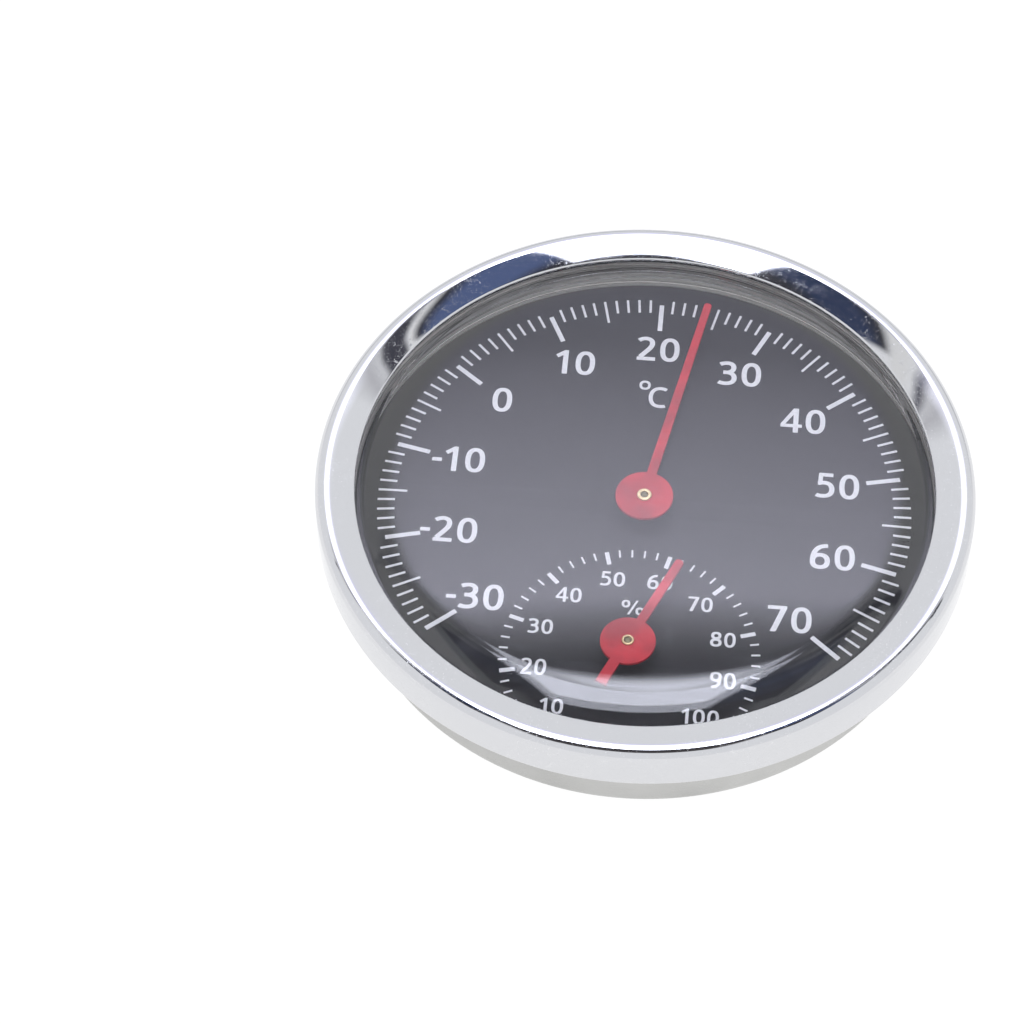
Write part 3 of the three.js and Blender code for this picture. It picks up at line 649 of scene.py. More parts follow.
def make_support():
    inner, outer = 31.6, 33.6
    outline = fillet([
        (inner, SHEET, 0.2),
        (outer - CAN_EDGE, SHEET, 0.1),
        (outer, SHEET + CAN_EDGE, 0.1),
        (outer, PLATE_BACK_Z, 0.1),
        (inner, PLATE_BACK_Z, 0.2),
    ])
    dress(lathe("dial_support", outline), "support_plastic", "case", "dial_support_ring")


# ---------------------------------------------------------------- dial

BUSH_RADIUS = 1.4
RIVET_X = 13.2
RIVET_RADIUS = 0.8


def make_dial_sheets():
    bushes = [circle(0, 0, BUSH_RADIUS + HOLE_GAP), circle(HYGRO_X, HYGRO_Y, BUSH_RADIUS + HOLE_GAP)]
    rivets = [
        circle(x + side * RIVET_X, y, RIVET_RADIUS + HOLE_GAP, 24)
        for x, y in ((0, 0), (HYGRO_X, HYGRO_Y))
        for side in (-1, 1)
    ]
    edge = circle(0, 0, DIAL_RADIUS, FINE)
    plate = flat_part("dial_plate_sheet", edge, bushes + rivets, PLATE_BACK_Z, PLATE_Z, 0.04)
    dress(plate, "plate_white", "case", "dial_plate")
    face = flat_part("dial_face_film", edge, bushes, PLATE_Z, DIAL_Z, 0.01)
    dress(face, "face_black", "case", "dial_face")


TEMPERATURE = {
    "centre": (0.0, 0.0),
    "range": (-30, 70, 1),
    "top": 20,
    "degrees": 2.588,
    "marks": ((10, 25.8, 29.7, 0.55), (5, 27.2, 30.4, 0.29), (1, 28.5, 30.4, 0.29)),
}
HUMIDITY = {
    "centre": (-0.1, -20.85),
    "range": (10, 100, 2),
    "top": 55,
    "degrees": 2.9,
    "marks": ((10, 12.75, 14.45, 0.5), (2, 13.56, 14.56, 0.22)),
}


def bearing_of(scale, value):
    """Clockwise angle of a value from 12 o'clock, in radians."""
    return math.radians((value - scale["top"]) * scale["degrees"])


def graduations(scale):
    """Outlines of a scale's marks, each a four-cornered ribbon."""
    low, high, step = scale["range"]
    cx, cy = scale["centre"]
    for value in range(low, high + 1, step):
        _, inner, outer, width = next(mark for mark in scale["marks"] if value % mark[0] == 0)
        angle = bearing_of(scale, value)
        line = [(cx + r * math.sin(angle), cy + r * math.cos(angle)) for r in (inner, outer)]
        yield ribbon(line, width, DIAL_Z, DIAL_Z + INK)


# Numerals are drawn as strokes in a box one unit high. A stroke is ("ring", cx, cy, width, height),
# ("solid", corners) or ("line", start, segments), where a segment is a point, or two handles and a point.
STEM, BAR = 0.172, 0.145
MINUS_GAP = 0.28
LABEL_NUDGE = 0.6


def bowl_of_six(flip):
    """The strokes of a 6, or of a 9 where flip turns them half round."""
    ring = ("ring", 0.325, 0.315, 0.65, 0.63)
    tail = ("line", (0.088, 0.33), [(0.088, 0.70, 0.23, 0.93, 0.565, 0.925)])
    return [("flip", ring), ("flip", tail)] if flip else [ring, tail]


GLYPHS = {
    "0": (0.65, [("ring", 0.325, 0.5, 0.65, 1.0)]),
    "1": (0.417, [
        ("solid", [
            (0.245, 0), (0.417, 0), (0.417, 1), (0.285, 1), (0, 0.79), (0.085, 0.672), (0.245, 0.79),
        ])
    ]),
    "2": (0.65, [
        ("line", (0.065, 0.835), [
            (0.15, 0.905, 0.22, 0.93, 0.305, 0.93),
            (0.44, 0.93, 0.52, 0.85, 0.52, 0.73),
            (0.52, 0.6, 0.43, 0.5, 0.34, 0.385),
            (0.14, 0.145),
        ]),
        ("solid", [(0.03, 0), (0.65, 0), (0.65, 0.145), (0.1, 0.145), (0.03, 0.13)]),
    ]),
    "3": (0.64, [
        ("line", (0.06, 0.865), [
            (0.15, 0.91, 0.22, 0.93, 0.3, 0.93),
            (0.44, 0.93, 0.515, 0.86, 0.515, 0.75),
            (0.515, 0.62, 0.42, 0.535, 0.27, 0.535),
            (0.17, 0.535),
        ]),
        ("line", (0.17, 0.535), [
            (0.27, 0.535),
            (0.45, 0.535, 0.55, 0.45, 0.55, 0.31),
            (0.55, 0.15, 0.43, 0.07, 0.26, 0.07),
            (0.17, 0.07, 0.1, 0.085, 0.03, 0.12),
        ]),
    ]),
    "4": (0.71, [
        ("solid", [(0.415, 0), (0.585, 0), (0.585, 1), (0.415, 1)]),
        ("solid", [(0, 0.215), (0.71, 0.215), (0.71, 0.345), (0, 0.345)]),
        ("solid", [(0, 0.335), (0.15, 0.335), (0.5, 0.87), (0.5, 1), (0.415, 1)]),
    ]),
    "5": (0.64, [
        ("solid", [(0.115, 0.86), (0.58, 0.86), (0.58, 1), (0.115, 1)]),
        ("solid", [(0.085, 0.51), (0.235, 0.56), (0.255, 1), (0.113, 1)]),
        ("line", (0.1, 0.565), [
            (0.18, 0.6, 0.24, 0.61, 0.3, 0.61),
            (0.46, 0.61, 0.555, 0.5, 0.555, 0.34),
            (0.555, 0.17, 0.44, 0.07, 0.26, 0.07),
            (0.17, 0.07, 0.1, 0.085, 0.045, 0.115),
        ]),
    ]),
    "6": (0.65, bowl_of_six(False)),
    "7": (0.635, [
        ("solid", [(0.02, 0.862), (0.635, 0.862), (0.635, 1), (0.02, 1)]),
        ("solid", [(0.125, 0), (0.31, 0), (0.635, 0.9), (0.635, 0.95), (0.46, 0.95)]),
    ]),
    "8": (0.65, [("ring", 0.325, 0.745, 0.575, 0.51), ("ring", 0.325, 0.275, 0.65, 0.55)]),
    "9": (0.65, bowl_of_six(True)),
    "-": (0.33, [("solid", [(0, 0.37), (0.32, 0.37), (0.32, 0.51), (0, 0.51)])]),
    "C": (0.7, [
        ("line", (0.675, 0.868), [
            (0.6, 0.91, 0.52, 0.93, 0.45, 0.93),
            (0.22, 0.93, 0.085, 0.76, 0.085, 0.5),
            (0.085, 0.23, 0.21, 0.07, 0.45, 0.07),
            (0.52, 0.07, 0.59, 0.08, 0.65, 0.105),
        ])
    ]),
    "o": (1.0, [("ring", 0.5, 0.5, 1.0, 1.0)]),
    "%": (1.33, [
        ("ring", 0.25, 0.735, 0.5, 0.53),
        ("solid", [(0.36, 0), (0.5, 0), (0.97, 1), (0.83, 1)]),
        ("ring", 1.08, 0.265, 0.5, 0.53),
    ]),
}
SUPERELLIPSE = 2.35


def bezier(start, handle_a, handle_b, end, steps=8):
    points = []
    for k in range(1, steps + 1):
        t = k / steps
        weights = ((1 - t) ** 3, 3 * t * (1 - t) ** 2, 3 * t * t * (1 - t), t**3)
        spots = (start, handle_a, handle_b, end)
        points.append(tuple(sum(w * s[axis] for w, s in zip(weights, spots)) for axis in (0, 1)))
    return points


def stroke_line(start, segments):
    line = [start]
    for segment in segments:
        if len(segment) == 6:
            line += bezier(line[-1], segment[:2], segment[2:4], segment[4:])
        else:
            line.append(segment)
    return line


def power(value):
    return math.copysign(abs(value) ** (2 / SUPERELLIPSE), value)


def glyph_stroke(stroke, stem, bar):
    """Points and faces of one stroke, one unit thick."""
    kind = stroke[0]
    if kind == "flip":
        points, faces = glyph_stroke(stroke[1], stem, bar)
        return [(0.65 - x, 1 - y, z) for x, y, z in points], faces
    if kind == "solid":
        corners = stroke[1]
        count = len(corners)
        points = [(x, y, z) for z in (0, 1) for x, y in corners]
        faces = [tuple(range(count)), tuple(range(count, 2 * count))]
        faces += [(k, (k + 1) % count, count + (k + 1) % count, count + k) for k in range(count)]
        return points, faces
    if kind == "ring":
        _, cx, cy, width, height = stroke
        steps = 40
        loops = []
        for inset_x, inset_y in ((0, 0), (stem, bar)):
            rx, ry = width / 2 - inset_x, height / 2 - inset_y
            angles = [2 * math.pi * k / steps for k in range(steps)]
            loops.append([(cx + rx * power(math.cos(a)), cy + ry * power(math.sin(a))) for a in angles])
        points = [(x, y, z) for z in (0, 1) for loop in loops for x, y in loop]
        low_out, low_in, top_out, top_in = 0, steps, 2 * steps, 3 * steps
        walls = ((low_out, low_in), (top_out, top_in), (low_out, top_out), (low_in, top_in))
        faces = []
        for k in range(steps):
            n = (k + 1) % steps
            faces += [(a + k, a + n, b + n, b + k) for a, b in walls]
        return points, faces
    return ribbon(stroke_line(stroke[1], stroke[2]), stem, 0, 1, bar)


def glyph_mesh(character, stem, bar):
    """One closed mesh for a character, one unit high and one unit thick, joined from its strokes."""
    strokes = [glyph_stroke(stroke, stem, bar) for stroke in GLYPHS[character][1]]
    apart = character == "%"
    pieces = []
    for points, faces in strokes:
        mesh = bpy.data.meshes.new("stroke")
        mesh.from_pydata(points, [], faces)
        finish_mesh(mesh)
        pieces.append(new_object("stroke", mesh))
    first, rest = pieces[0], pieces[1:]
    if apart:
        build = bmesh.new()
        for piece in pieces:
            build.from_mesh(piece.data)
        for piece in rest:
            bpy.data.objects.remove(piece)
        build.to_mesh(first.data)
        build.free()
    elif rest:
        union(first, rest)
    mesh = first.data
    bpy.data.objects.remove(first)
    return mesh


_glyphs = {}


def typeset(build, text, x, y, height, pitch, stem=STEM, bar=BAR):
    """Adds text to a bmesh, centred on (x, y). Every digit stands in a cell of the same width."""
    digits = text.lstrip("-")
    start = x - pitch * (len(digits) - 1) / 2
    for i, character in enumerate(digits):
        width = GLYPHS[character][0] * height
        left = start + pitch * i - width / 2
        add_glyph(build, character, left, y - height / 2, height, stem, bar)
        if i == 0 and text != digits:
            minus = GLYPHS["-"][0] * height
            add_glyph(build, "-", left - MINUS_GAP - minus, y - height / 2, height, stem, bar)


def add_glyph(build, character, left, bottom, height, stem, bar):
    key = (character, stem, bar)
    if key not in _glyphs:
        _glyphs[key] = glyph_mesh(*key)
    size = Matrix.Diagonal((height * MM, height * MM, INK * MM, 1))
    shift = Matrix.Translation((left * MM, bottom * MM, DIAL_Z * MM))
    copy = _glyphs[key].copy()
    copy.transform(shift @ size)
    build.from_mesh(copy)
    bpy.data.meshes.remove(copy)


THERMO_LABEL = {"radius": 22.4, "height": 3.52, "pitch": 2.79}
HYGRO_LABEL = {"radius": 10.72, "height": 1.98, "pitch": 1.55}


def make_print():
    """The white marks of both scales: graduations, numbers and units, in one thin mesh."""
    build = bmesh.new()
    for scale in (TEMPERATURE, HUMIDITY):
        for points, faces in graduations(scale):
            corners = [build.verts.new(Vector(point) * MM) for point in points]
            for face in faces:
                build.faces.new([corners[k] for k in face])
    for value in range(-30, 71, 10):
        angle = bearing_of(TEMPERATURE, value)
        radius = THERMO_LABEL["radius"] + (LABEL_NUDGE if value == 20 else 0)
        x, y = radius * math.sin(angle), radius * math.cos(angle)
        if value in (-10, -20):
            x += LABEL_NUDGE
        typeset(build, str(value), x, y, THERMO_LABEL["height"], THERMO_LABEL["pitch"])
    cx, cy = HUMIDITY["centre"]
    for value in range(10, 101, 10):
        angle = bearing_of(HUMIDITY, value)
        radius = HYGRO_LABEL["radius"]
        x, y = cx + radius * math.sin(angle), cy + radius * math.cos(angle)
        typeset(build, str(value), x, y, HYGRO_LABEL["height"], HYGRO_LABEL["pitch"])
    add_glyph(build, "o", -1.8, 16.85, 1.33, 0.24, 0.22)
    add_glyph(build, "C", -0.62, 14.3, 3.08, 0.155, 0.14)
    add_glyph(build, "%", -1.5, -15.15, 1.95, 0.15, 0.125)
    mesh = bpy.data.meshes.new("scale_print")
    bmesh.ops.recalc_face_normals(build, faces=build.faces)
    build.to_mesh(mesh)
    build.free()
    mesh.shade_flat()
    for glyph in _glyphs.values():
        bpy.data.meshes.remove(glyph)
    dress(new_object("scale_print", mesh), "ink", "case")


# ---------------------------------------------------------------- pointers and movements

THERMO = {
    "name": "thermo",
    "body": "thermo_hand",
    "coil_body": "case",
    "centre": (0.0, 0.0),
    "bearing": (24.2, TEMPERATURE),
    "hub": 3.3,
    "arm": 29.3,
    "arm_width": 1.15,
    "tip_width": 0.9,
    "tail": 0.0,
    "collet": 0.83,
    "shank": 0.62,
    "strip": 0.15,
    "turns": 7.5,
    "coil_slot": "bimetal",
    "stud_degrees": 0.0,
}
HYGRO = {
    "name": "hygro",
    "body": "hygro_hand",
    "coil_body": "humidity_adjuster",
    "centre": (HYGRO_X, HYGRO_Y),
    "bearing": (63.3, HUMIDITY),
    "hub": 3.1,
    "arm": 12.5,
    "arm_width": 1.1,
    "tip_width": 1.0,
    "tail": 6.3,
    "collet": 0.68,
    "shank": 0.55,
    "strip": 0.2,
    "turns": 5.5,
    "coil_slot": "humidity_strip",
    "stud_degrees": 90.0,
}
TAIL_WIDTH = 1.27
ARBOR = 0.4
BORE = 0.42
BUSH_BORE = BORE + 0.01
ARBOR_BACK_Z = 2.0
BORE_BOTTOM_Z = ARBOR_BACK_Z - 0.05
COIL_LOW, COIL_HIGH = 3.6, 6.6
COIL_INNER, COIL_OUTER = 1.35, 9.0
COIL_TAB, COIL_END = 0.75, 1.4
SLEEVE = 1.2
SLIT_HALF = 0.16
STUD_RADIUS = 0.5
BRIDGE_SHEET = 0.6
ADJUSTER_BORE = 2.06
ADJUSTER_ARM = 0.5


def make_pointer(kind):
    """A stamped hand: a round hub, a tapering arm and, on one of them, a tail."""
    name = kind["name"]
    hub, arm, wide, tip = kind["hub"], kind["arm"], kind["arm_width"], kind["tip_width"]
    low, high = node_box(name + "_pointer")
    steps = 56
    side = math.asin(wide / 2 / hub)
    tail = math.asin(TAIL_WIDTH / 2 / hub) if kind["tail"] else 0.0
    outline = [(hub * math.sin(side), hub * math.cos(side))]
    outline += [(tip / 2, arm - tip * 0.3), (tip * 0.36, arm - tip * 0.08), (tip * 0.2, arm)]
    outline += [(-x, y) for x, y in reversed(outline)]
    start, stop = math.pi / 2 + side, 5 * math.pi / 2 - side
    for k in range(1, steps):
        angle = start + (stop - start) * k / steps
        if tail and abs(angle - 3 * math.pi / 2) < tail:
            continue
        outline.append((hub * math.cos(angle), hub * math.sin(angle)))
    if tail:
        at = next(i for i, (x, y) in enumerate(outline) if y < 0 and x > 0)
        end = [(-TAIL_WIDTH / 2, -kind["tail"]), (TAIL_WIDTH / 2, -kind["tail"])]
        root = [(-TAIL_WIDTH / 2, -hub * math.cos(tail)), (TAIL_WIDTH / 2, -hub * math.cos(tail))]
        outline[at:at] = [root[0], end[0], end[1], root[1]]
    hole = circle(0, 0, kind["shank"] + 0.01)
    piece = flat_part(name + "_hand", outline, [hole], low.z, high.z, 0.06)
    value, scale = kind["bearing"]
    place(piece, *kind["centre"], -math.degrees(bearing_of(scale, value)))
    dress(piece, "pointer_red", kind["body"], name + "_pointer")


def make_collet(kind):
    name = kind["name"]
    low, high = node_box(name + "_pointer")
    head, shank = kind["collet"], kind["shank"]
    bottom, top, rim = low.z - 0.8, high.z + 0.18, head + 0.35
    outline = fillet([
        (BORE, bottom, 0.03),
        (rim, bottom, 0.06),
        (rim, low.z, 0.04),
        (shank, low.z),
        (shank, high.z),
        (head, high.z, 0.02),
        (head, top, 0.09),
        (BORE + 0.03, top, 0.05),
        (BORE, top - 0.12, 0.02),
    ])
    piece = lathe(name + "_collet_turned", outline, MEDIUM, kind["centre"])
    dress(piece, "brass", kind["body"], name + "_collet")


def make_arbor(kind):
    name = kind["name"]
    top = node_box(name + "_arbor")[1].z
    outline = fillet(
        [(0, ARBOR_BACK_Z), (ARBOR, ARBOR_BACK_Z, 0.12), (ARBOR, top, 0.12), (0, top)],
        4,
    )
    piece = lathe(name + "_arbor_ground", outline, 48, kind["centre"])
    dress(piece, "shaft_steel", kind["body"], name + "_arbor")


def make_front_bush(kind):
    name = kind["name"]
    low, high = node_box(name + "_front_bush")
    wide = BUSH_RADIUS + 0.8
    outline = fillet([
        (BUSH_BORE, low.z, 0.05),
        (wide, low.z, 0.12),
        (wide, PLATE_BACK_Z, 0.05),
        (BUSH_RADIUS, PLATE_BACK_Z),
        (BUSH_RADIUS, high.z, 0.12),
        (BUSH_BORE, high.z, 0.05),
    ])
    piece = lathe(name + "_front_bush_turned", outline, MEDIUM, kind["centre"])
    dress(piece, "brass", "case", name + "_front_bush")


def coil_line(turns, per_turn=72):
    """A tab in the sleeve's slot, an even spiral, and a straight end through the stud."""
    line = [(-COIL_TAB, 0.0)]
    steps = round(turns * per_turn)
    sweep = 2 * math.pi * turns - math.atan(COIL_END / COIL_OUTER)
    reach = math.hypot(COIL_OUTER, COIL_END)
    for i in range(steps + 1):
        angle = math.pi + sweep * i / steps
        radius = COIL_INNER + (reach - COIL_INNER) * i / steps
        line.append((radius * math.cos(angle), radius * math.sin(angle)))
    line.append((COIL_OUTER, COIL_END))
    return line


def make_coil(kind):
    name = kind["name"]
    points, faces = ribbon(coil_line(kind["turns"]), kind["strip"], COIL_LOW, COIL_HIGH)
    piece = mesh_from(name + "_coil_strip", points, faces)
    place(piece, *kind["centre"], kind["stud_degrees"])
    dress(piece, kind["coil_slot"], kind["coil_body"], name + "_coil")


def make_sleeve(kind):
    name = kind["name"]
    low, high = node_box(name + "_coil_sleeve")
    outline = fillet(
        [(BORE, low.z, 0.04), (SLEEVE, low.z, 0.08), (SLEEVE, high.z, 0.08), (BORE, high.z, 0.04)]
    )
    sleeve = lathe(name + "_sleeve_turned", outline, MEDIUM)
    cut(sleeve, [cutter_box(-2, -SLIT_HALF, -0.6, SLIT_HALF, 2.5, 6.7)])
    place(sleeve, *kind["centre"], kind["stud_degrees"])
    dress(sleeve, "brass", kind["body"], name + "_coil_sleeve")


def make_stud(kind):
    name = kind["name"]
    low, high = node_box(name + "_coil_stud")
    base = low.z + (BRIDGE_SHEET if name == "thermo" else ADJUSTER_ARM)
    head = 0.8
    outline = fillet(
        [
            (0, low.z),
            (STUD_RADIUS, low.z, 0.05),
            (STUD_RADIUS, base),
            (head, base, 0.05),
            (head, high.z, 0.12),
            (0, high.z),
        ]
    )
    stud = lathe(name + "_stud_turned", outline, 64)
    cut(stud, [cutter_box(-SLIT_HALF, -2, SLIT_HALF, 2, 3.55, 8.0)])
    place(stud, COIL_OUTER, 0)
    place(stud, *kind["centre"], kind["stud_degrees"])
    dress(stud, "brass", kind["coil_body"], name + "_coil_stud")


def make_rivets(kind):
    cx, cy = kind["centre"]
    for side, label in ((-1, "left"), (1, "right")):
        node = kind["name"] + "_rivet_" + label
        low, high = node_box(node)
        foot = PLATE_BACK_Z - BRIDGE_SHEET
        tail, head = 1.1, 1.45
        outline = fillet([
            (0, low.z),
            (tail, low.z, 0.25),
            (head, foot - 0.25, 0.15),
            (head, foot, 0.04),
            (RIVET_RADIUS, foot),
            (RIVET_RADIUS, high.z, 0.05),
            (0, high.z),
        ], 4)
        piece = lathe(node + "_set", outline, 64, (cx + side * RIVET_X, cy))
        dress(piece, "bridge_steel", "case", node)


def make_bridge(kind, centre_hole, stud_hole):
    """A bent strip with rounded bends: two feet on the dial plate, two legs and a bar."""
    name = kind["name"]
    low, high = node_box(name + "_bridge")
    thick, leg = BRIDGE_SHEET, 11.5
    foot_x = (high.x - low.x) / 2
    half = [
        (leg, low.z, 1.0),
        (leg, high.z - thick, 0.3),
        (foot_x, high.z - thick, 0.1),
        (foot_x, high.z, 0.1),
        (leg - thick, high.z, 0.9),
        (leg - thick, low.z + thick, 0.4),
    ]
    mirrored = [(-x, z, r) for x, z, r in reversed(half)]
    width = high.y - low.y
    outline = fillet(half + mirrored, 4)
    strip = flat_part(name + "_bridge_strip", outline, [], -width / 2, width / 2, 0.08)
    strip.data.transform(Matrix.Rotation(math.pi / 2, 4, "X"))
    cutters = [cutter_rod(0, 0, centre_hole, 0, low.z + 1.2)]
    for side in (-1, 1):
        cutters.append(cutter_rod(side * RIVET_X, 0, RIVET_RADIUS + HOLE_GAP, high.z - 1.5, high.z + 1))
    if stud_hole:
        cutters.append(cutter_rod(COIL_OUTER, 0, STUD_RADIUS + HOLE_GAP, 0, low.z + 1.2))
    cut(strip, cutters)
    place(strip, *kind["centre"])
    dress(strip, "bridge_steel", "case", name + "_bridge")


def make_rear_bush():
    low, high = node_box("thermo_rear_bush")
    bar = node_box("thermo_bridge")[0].z + BRIDGE_SHEET
    neck, rim = 1.3, 1.8
    outline = fillet([
        (0, low.z),
        (neck, low.z, 0.08),
        (neck, bar),
        (rim, bar, 0.05),
        (rim, high.z, 0.1),
        (BUSH_BORE, high.z, 0.05),
        (BUSH_BORE, BORE_BOTTOM_Z),
        (0, BORE_BOTTOM_Z),
    ])
    dress(lathe("thermo_rear_bush_turned", outline, MEDIUM), "brass", "case", "thermo_rear_bush")


def make_adjuster():
    """The calibration lever: a slotted hub, a disc and an arm that carries the humidity coil."""
    low, high = node_box("hygro_adjuster")
    arm_low = 2.6
    arm_high = arm_low + ADJUSTER_ARM
    hub, rim_top = 2.0, node_box("hygro_bridge")[0].z - 0.1
    outline = fillet([
        (0, low.z),
        (hub + 0.5, low.z, 0.15),
        (hub + 0.5, rim_top, 0.08),
        (hub, rim_top),
        (hub, arm_low),
        (hub + 1, arm_low, 0.05),
        (hub + 1, arm_high, 0.08),
        (SLEEVE, arm_high, 0.05),
        (SLEEVE, high.z, 0.06),
        (BUSH_BORE, high.z, 0.04),
        (BUSH_BORE, BORE_BOTTOM_Z),
        (0, BORE_BOTTOM_Z),
    ])
    lever = lathe("adjuster_lever", outline, MEDIUM)
    arm_half, tip_steps = 1.2, 16
    turns = [math.pi * k / tip_steps for k in range(tip_steps + 1)]
    tip = [(COIL_OUTER + arm_half * math.sin(a), arm_half * -math.cos(a)) for a in turns]
    outline = [(1.5, -arm_half), *tip, (1.5, arm_half)]
    arm = flat_part("arm", outline, [], arm_low, arm_high - 0.01, 0.05)
    union(lever, [arm])
    slot = cutter_box(-4, -0.3, 4, 0.3, 0, low.z + 0.5)
    cut(lever, [cutter_rod(COIL_OUTER, 0, STUD_RADIUS + HOLE_GAP, 0, 5), slot])
    place(lever, *HYGRO["centre"], HYGRO["stud_degrees"])
    dress(lever, "brass", "humidity_adjuster", "hygro_adjuster")


def make_washer():
    low, high = node_box("hygro_adjuster_washer")
    gap, outer = 0.015, 2.9
    bottom, top = low.z + gap, high.z - gap
    corners = ((ADJUSTER_BORE, bottom), (outer, bottom), (outer, top), (ADJUSTER_BORE, top))
    outline = fillet([(x, z, 0.03) for x, z in corners])
    piece = lathe("adjuster_washer_stamped", outline, MEDIUM, HYGRO["centre"])
    dress(piece, "bridge_steel", "case", "hygro_adjuster_washer")


def make_movement(kind, centre_hole, stud_hole):
    on_shaft = (make_pointer, make_collet, make_arbor, make_front_bush)
    for make in (*on_shaft, make_coil, make_sleeve, make_stud, make_rivets):
        make(kind)
    make_bridge(kind, centre_hole, stud_hole)


# ---------------------------------------------------------------- studio

CAMERA_AZIMUTH = 5.79
CAMERA_ELEVATION = 53.84
CAMERA_ROLL = -0.5165
CAMERA_LENS = 130.85
CAMERA_BACK = 426.3
CAMERA_LEFT = 15.11
CAMERA_DOWN = 0.78
TARGET_Z = 9.45


def make_camera():
    azimuth, elevation, roll = (math.radians(a) for a in (CAMERA_AZIMUTH, CAMERA_ELEVATION, CAMERA_ROLL))
    level_part = math.cos(elevation)
    back = Vector((math.sin(azimuth) * level_part, -math.cos(azimuth) * level_part, math.sin(elevation)))
    level = Vector((0, 0, 1)).cross(back).normalized()
    upright = back.cross(level)
    right = math.cos(roll) * level + math.sin(roll) * upright
    up = math.cos(roll) * upright - math.sin(roll) * level
    data = bpy.data.cameras.new("camera")
    data.lens = CAMERA_LENS
    data.sensor_width = 36
    data.clip_start = 0.01
    data.clip_end = 20
    camera = bpy.data.objects.new("camera", data)
    bpy.context.collection.objects.link(camera)
    spot = Vector((0, 0, TARGET_Z)) + back * CAMERA_BACK - right * CAMERA_LEFT - up * CAMERA_DOWN
    turn = Matrix((right, up, back)).transposed().to_4x4()
    camera.matrix_world = Matrix.Translation(spot * MM) @ turn
    bpy.context.scene.camera = camera


FLOOR_SIZE_M = 6
FLOOR_DROP_M = 0.00005
FLOOR_GLOW = 0.94


def make_floor():
    """A pale floor that gives off light of its own, so that it stays white and hardly takes a shadow."""
    bpy.ops.mesh.primitive_plane_add(size=FLOOR_SIZE_M, location=(0, 0, -FLOOR_DROP_M))
    floor = bpy.context.object
    floor.name = "studio_floor"
    material, _, shader = new_material("studio_floor", (0.12, 0.12, 0.12), 1.0)
    shader.inputs["Specular IOR Level"].default_value = 0.0
    shader.inputs["Emission Color"].default_value = (1.0, 1.0, 1.0, 1)
    shader.inputs["Emission Strength"].default_value = FLOOR_GLOW
    floor.data.materials.append(material)
    floor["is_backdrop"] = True


def window(tree, value, low, high, soft):
    """1 between low and high, falling to 0 over soft on each side."""
    rising = ramp(tree, value, low - soft, low + soft, 0, 1)
    falling = ramp(tree, value, high - soft, high + soft, 1, 0)
    return math_node(tree, "MULTIPLY", rising, falling)


def area(tree, u, v, u_range, v_range, soft):
    """1 inside a soft-edged rectangle overhead."""
    across = window(tree, u, *u_range, soft)
    return math_node(tree, "MULTIPLY", across, window(tree, v, *v_range, soft))


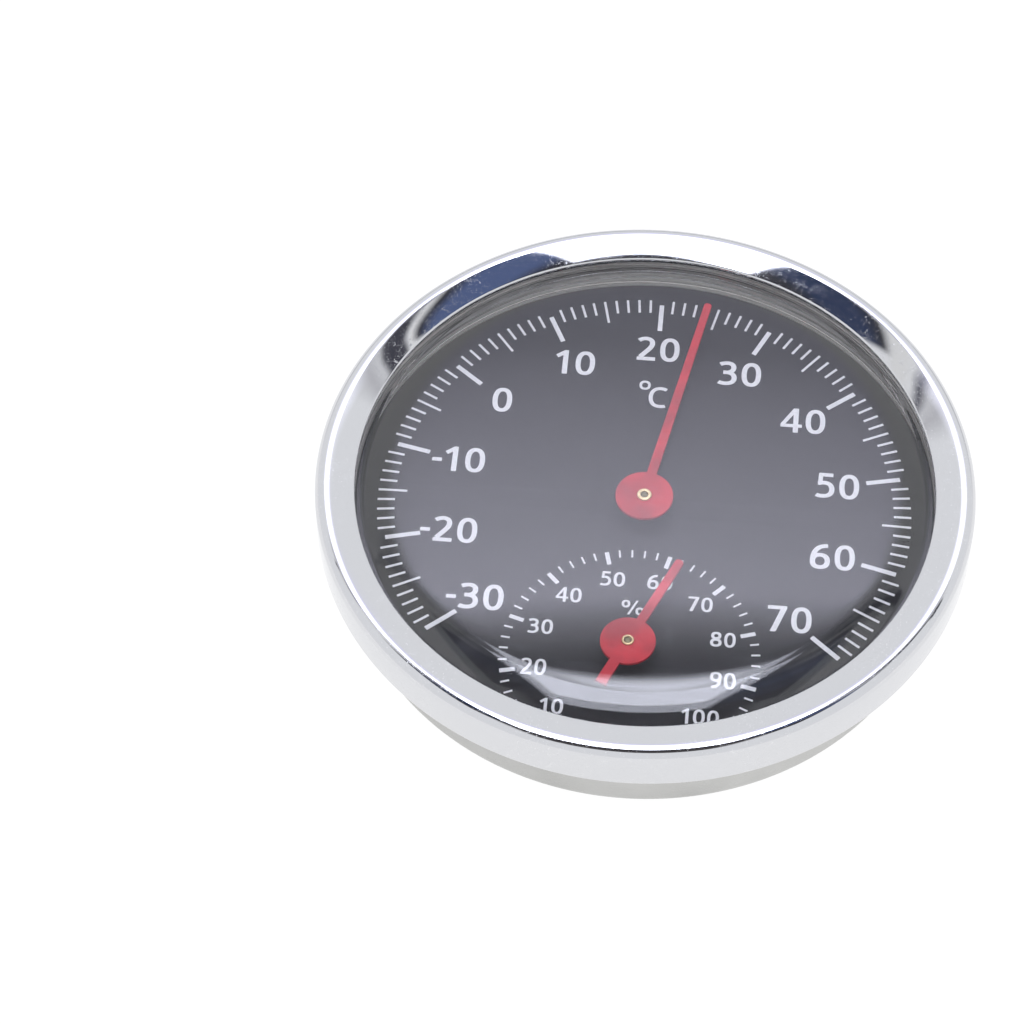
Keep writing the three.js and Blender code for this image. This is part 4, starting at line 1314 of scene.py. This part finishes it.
def make_world():
    """A pale surround with patches for the bezel and the lens to mirror. It is not a plain soft light.

    A very bright soft box has a dim gap round it and a dark ceiling, navy in part, in front. Beside it
    are bright and dark bands, and behind it is a glow. They were placed by measuring reflections, for
    one viewing angle. u and v are where a direction meets a plane one unit overhead, to the right and
    to the back.
    """
    world = bpy.data.worlds.new("studio")
    bpy.context.scene.world = world
    world.use_nodes = True
    tree = world.node_tree
    background = tree.nodes["Background"]
    coords = tree.nodes.new("ShaderNodeTexCoord")
    split = tree.nodes.new("ShaderNodeSeparateXYZ")
    tree.links.new(coords.outputs["Generated"], split.inputs[0])
    height = math_node(tree, "MAXIMUM", split.outputs["Z"], 0.02)
    u = math_node(tree, "DIVIDE", split.outputs["X"], height)
    v = math_node(tree, "DIVIDE", split.outputs["Y"], height)
    above = ramp(tree, split.outputs["Z"], 0.2, 0.3, 0, 1)
    skew = math_node(tree, "MULTIPLY", u, 0.12)
    level_v = math_node(tree, "SUBTRACT", v, skew)

    warp = tree.nodes.new("ShaderNodeTexNoise")
    warp.inputs["Scale"].default_value = 5.0
    warp.inputs["Detail"].default_value = 1.0
    tree.links.new(coords.outputs["Generated"], warp.inputs["Vector"])
    sway = ramp(tree, warp.outputs["Fac"], 0.3, 0.7, -0.02, 0.02)
    bent_v = math_node(tree, "ADD", v, sway)

    ceiling = area(tree, u, bent_v, (-0.42, 0.42), (-0.08, 0.375), 0.015)
    middle = area(tree, u, v, (-0.33, 0.33), (-0.5, -0.04), 0.05)
    rim = area(tree, u, bent_v, (0.0, 0.9), (0.375, 0.392), 0.01)
    bright = area(tree, u, bent_v, (-0.9, 0.0), (0.375, 0.455), 0.02)
    cloth = area(tree, u, bent_v, (0.0, 0.9), (0.405, 0.495), 0.012)
    fold = area(tree, u, bent_v, (-0.9, 0.0), (0.475, 0.505), 0.015)
    shade = area(tree, u, bent_v, (-0.7, 0.6), (0.51, 0.60), 0.04)
    aside = math_node(tree, "SUBTRACT", 1.0, window(tree, u, -0.26, 0.22, 0.03))
    glow_side = window(tree, u, -0.34, 0.30, 0.12)
    glow_start = ramp(tree, level_v, 0.50, 0.59, 0, 1)
    glow_depth = math_node(tree, "MULTIPLY", glow_start, ramp(tree, v, 1.5, 1.2, 0, 1))
    glow = math_node(tree, "MULTIPLY", glow_side, glow_depth)
    fade = ramp(tree, v, 0.56, 0.98, 2.9, 0.95)
    glow_colour = tree.nodes.new("ShaderNodeVectorMath")
    glow_colour.operation = "SCALE"
    glow_colour.inputs[0].default_value = (0.97, 0.97, 1.16)
    tree.links.new(fade, glow_colour.inputs["Scale"])
    gap = area(tree, u, level_v, (-0.26, 0.22), (0.2, 0.545), 0.04)
    box = area(tree, u, level_v, (-0.177, 0.137), (0.08, 0.483), 0.01)
    behind = ramp(tree, split.outputs["Y"], 0.6, 0.8, 0, 1)
    horizon = math_node(tree, "MULTIPLY", behind, window(tree, split.outputs["Z"], 0.08, 0.26, 0.04))

    navy = mix_colour(tree, ramp(tree, u, -0.22, 0.22, 0, 1), (0.045, 0.06, 0.12), (0.11, 0.15, 0.30))
    tone = mix_colour(tree, window(tree, bent_v, 0.15, 0.33, 0.03), (0.05, 0.05, 0.06), navy)
    bands = (
        (shade, (0.62, 0.62, 0.65)),
        (bright, (0.88, 0.88, 0.88)),
        (fold, (0.12, 0.12, 0.15)),
        (cloth, (0.07, 0.07, 0.09)),
        (rim, (1.0, 1.0, 1.0)),
    )
    layers = [(math_node(tree, "MULTIPLY", band, aside), colour) for band, colour in bands]
    layers += [
        (glow, glow_colour.outputs[0]),
        (gap, (0.3, 0.3, 0.35)),
        (ceiling, tone),
        (middle, (0.07, 0.065, 0.07)),
        (box, (6.7, 6.9, 7.9)),
    ]
    studio = (0.935, 0.945, 0.97)
    for layer, colour in layers:
        studio = mix_colour(tree, layer, studio, colour)
    studio = mix_colour(tree, above, (0.95, 0.955, 0.975), studio)
    studio = mix_colour(tree, horizon, studio, (0.62, 0.63, 0.66))
    tree.links.new(studio, background.inputs["Color"])
    background.inputs["Strength"].default_value = 1.0
    world.cycles.sampling_method = "MANUAL"
    world.cycles.sample_map_resolution = 2048


def make_studio():
    make_camera()
    make_floor()
    make_world()
    bpy.context.scene.view_settings.view_transform = "Standard"
    bpy.context.scene.view_settings.look = "None"


# ---------------------------------------------------------------- the scene

make_studio()
make_can()
make_bezel()
make_lens()
make_spacer()
make_support()
make_dial_sheets()
make_print()
make_movement(THERMO, 1.32, True)
make_movement(HYGRO, ADJUSTER_BORE, False)
make_rear_bush()
make_adjuster()
make_washer()

boxes = {"cad": CAD_BOX, "visual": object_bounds()}
{key: [list(corner) for corner in box] for key, box in boxes.items()}
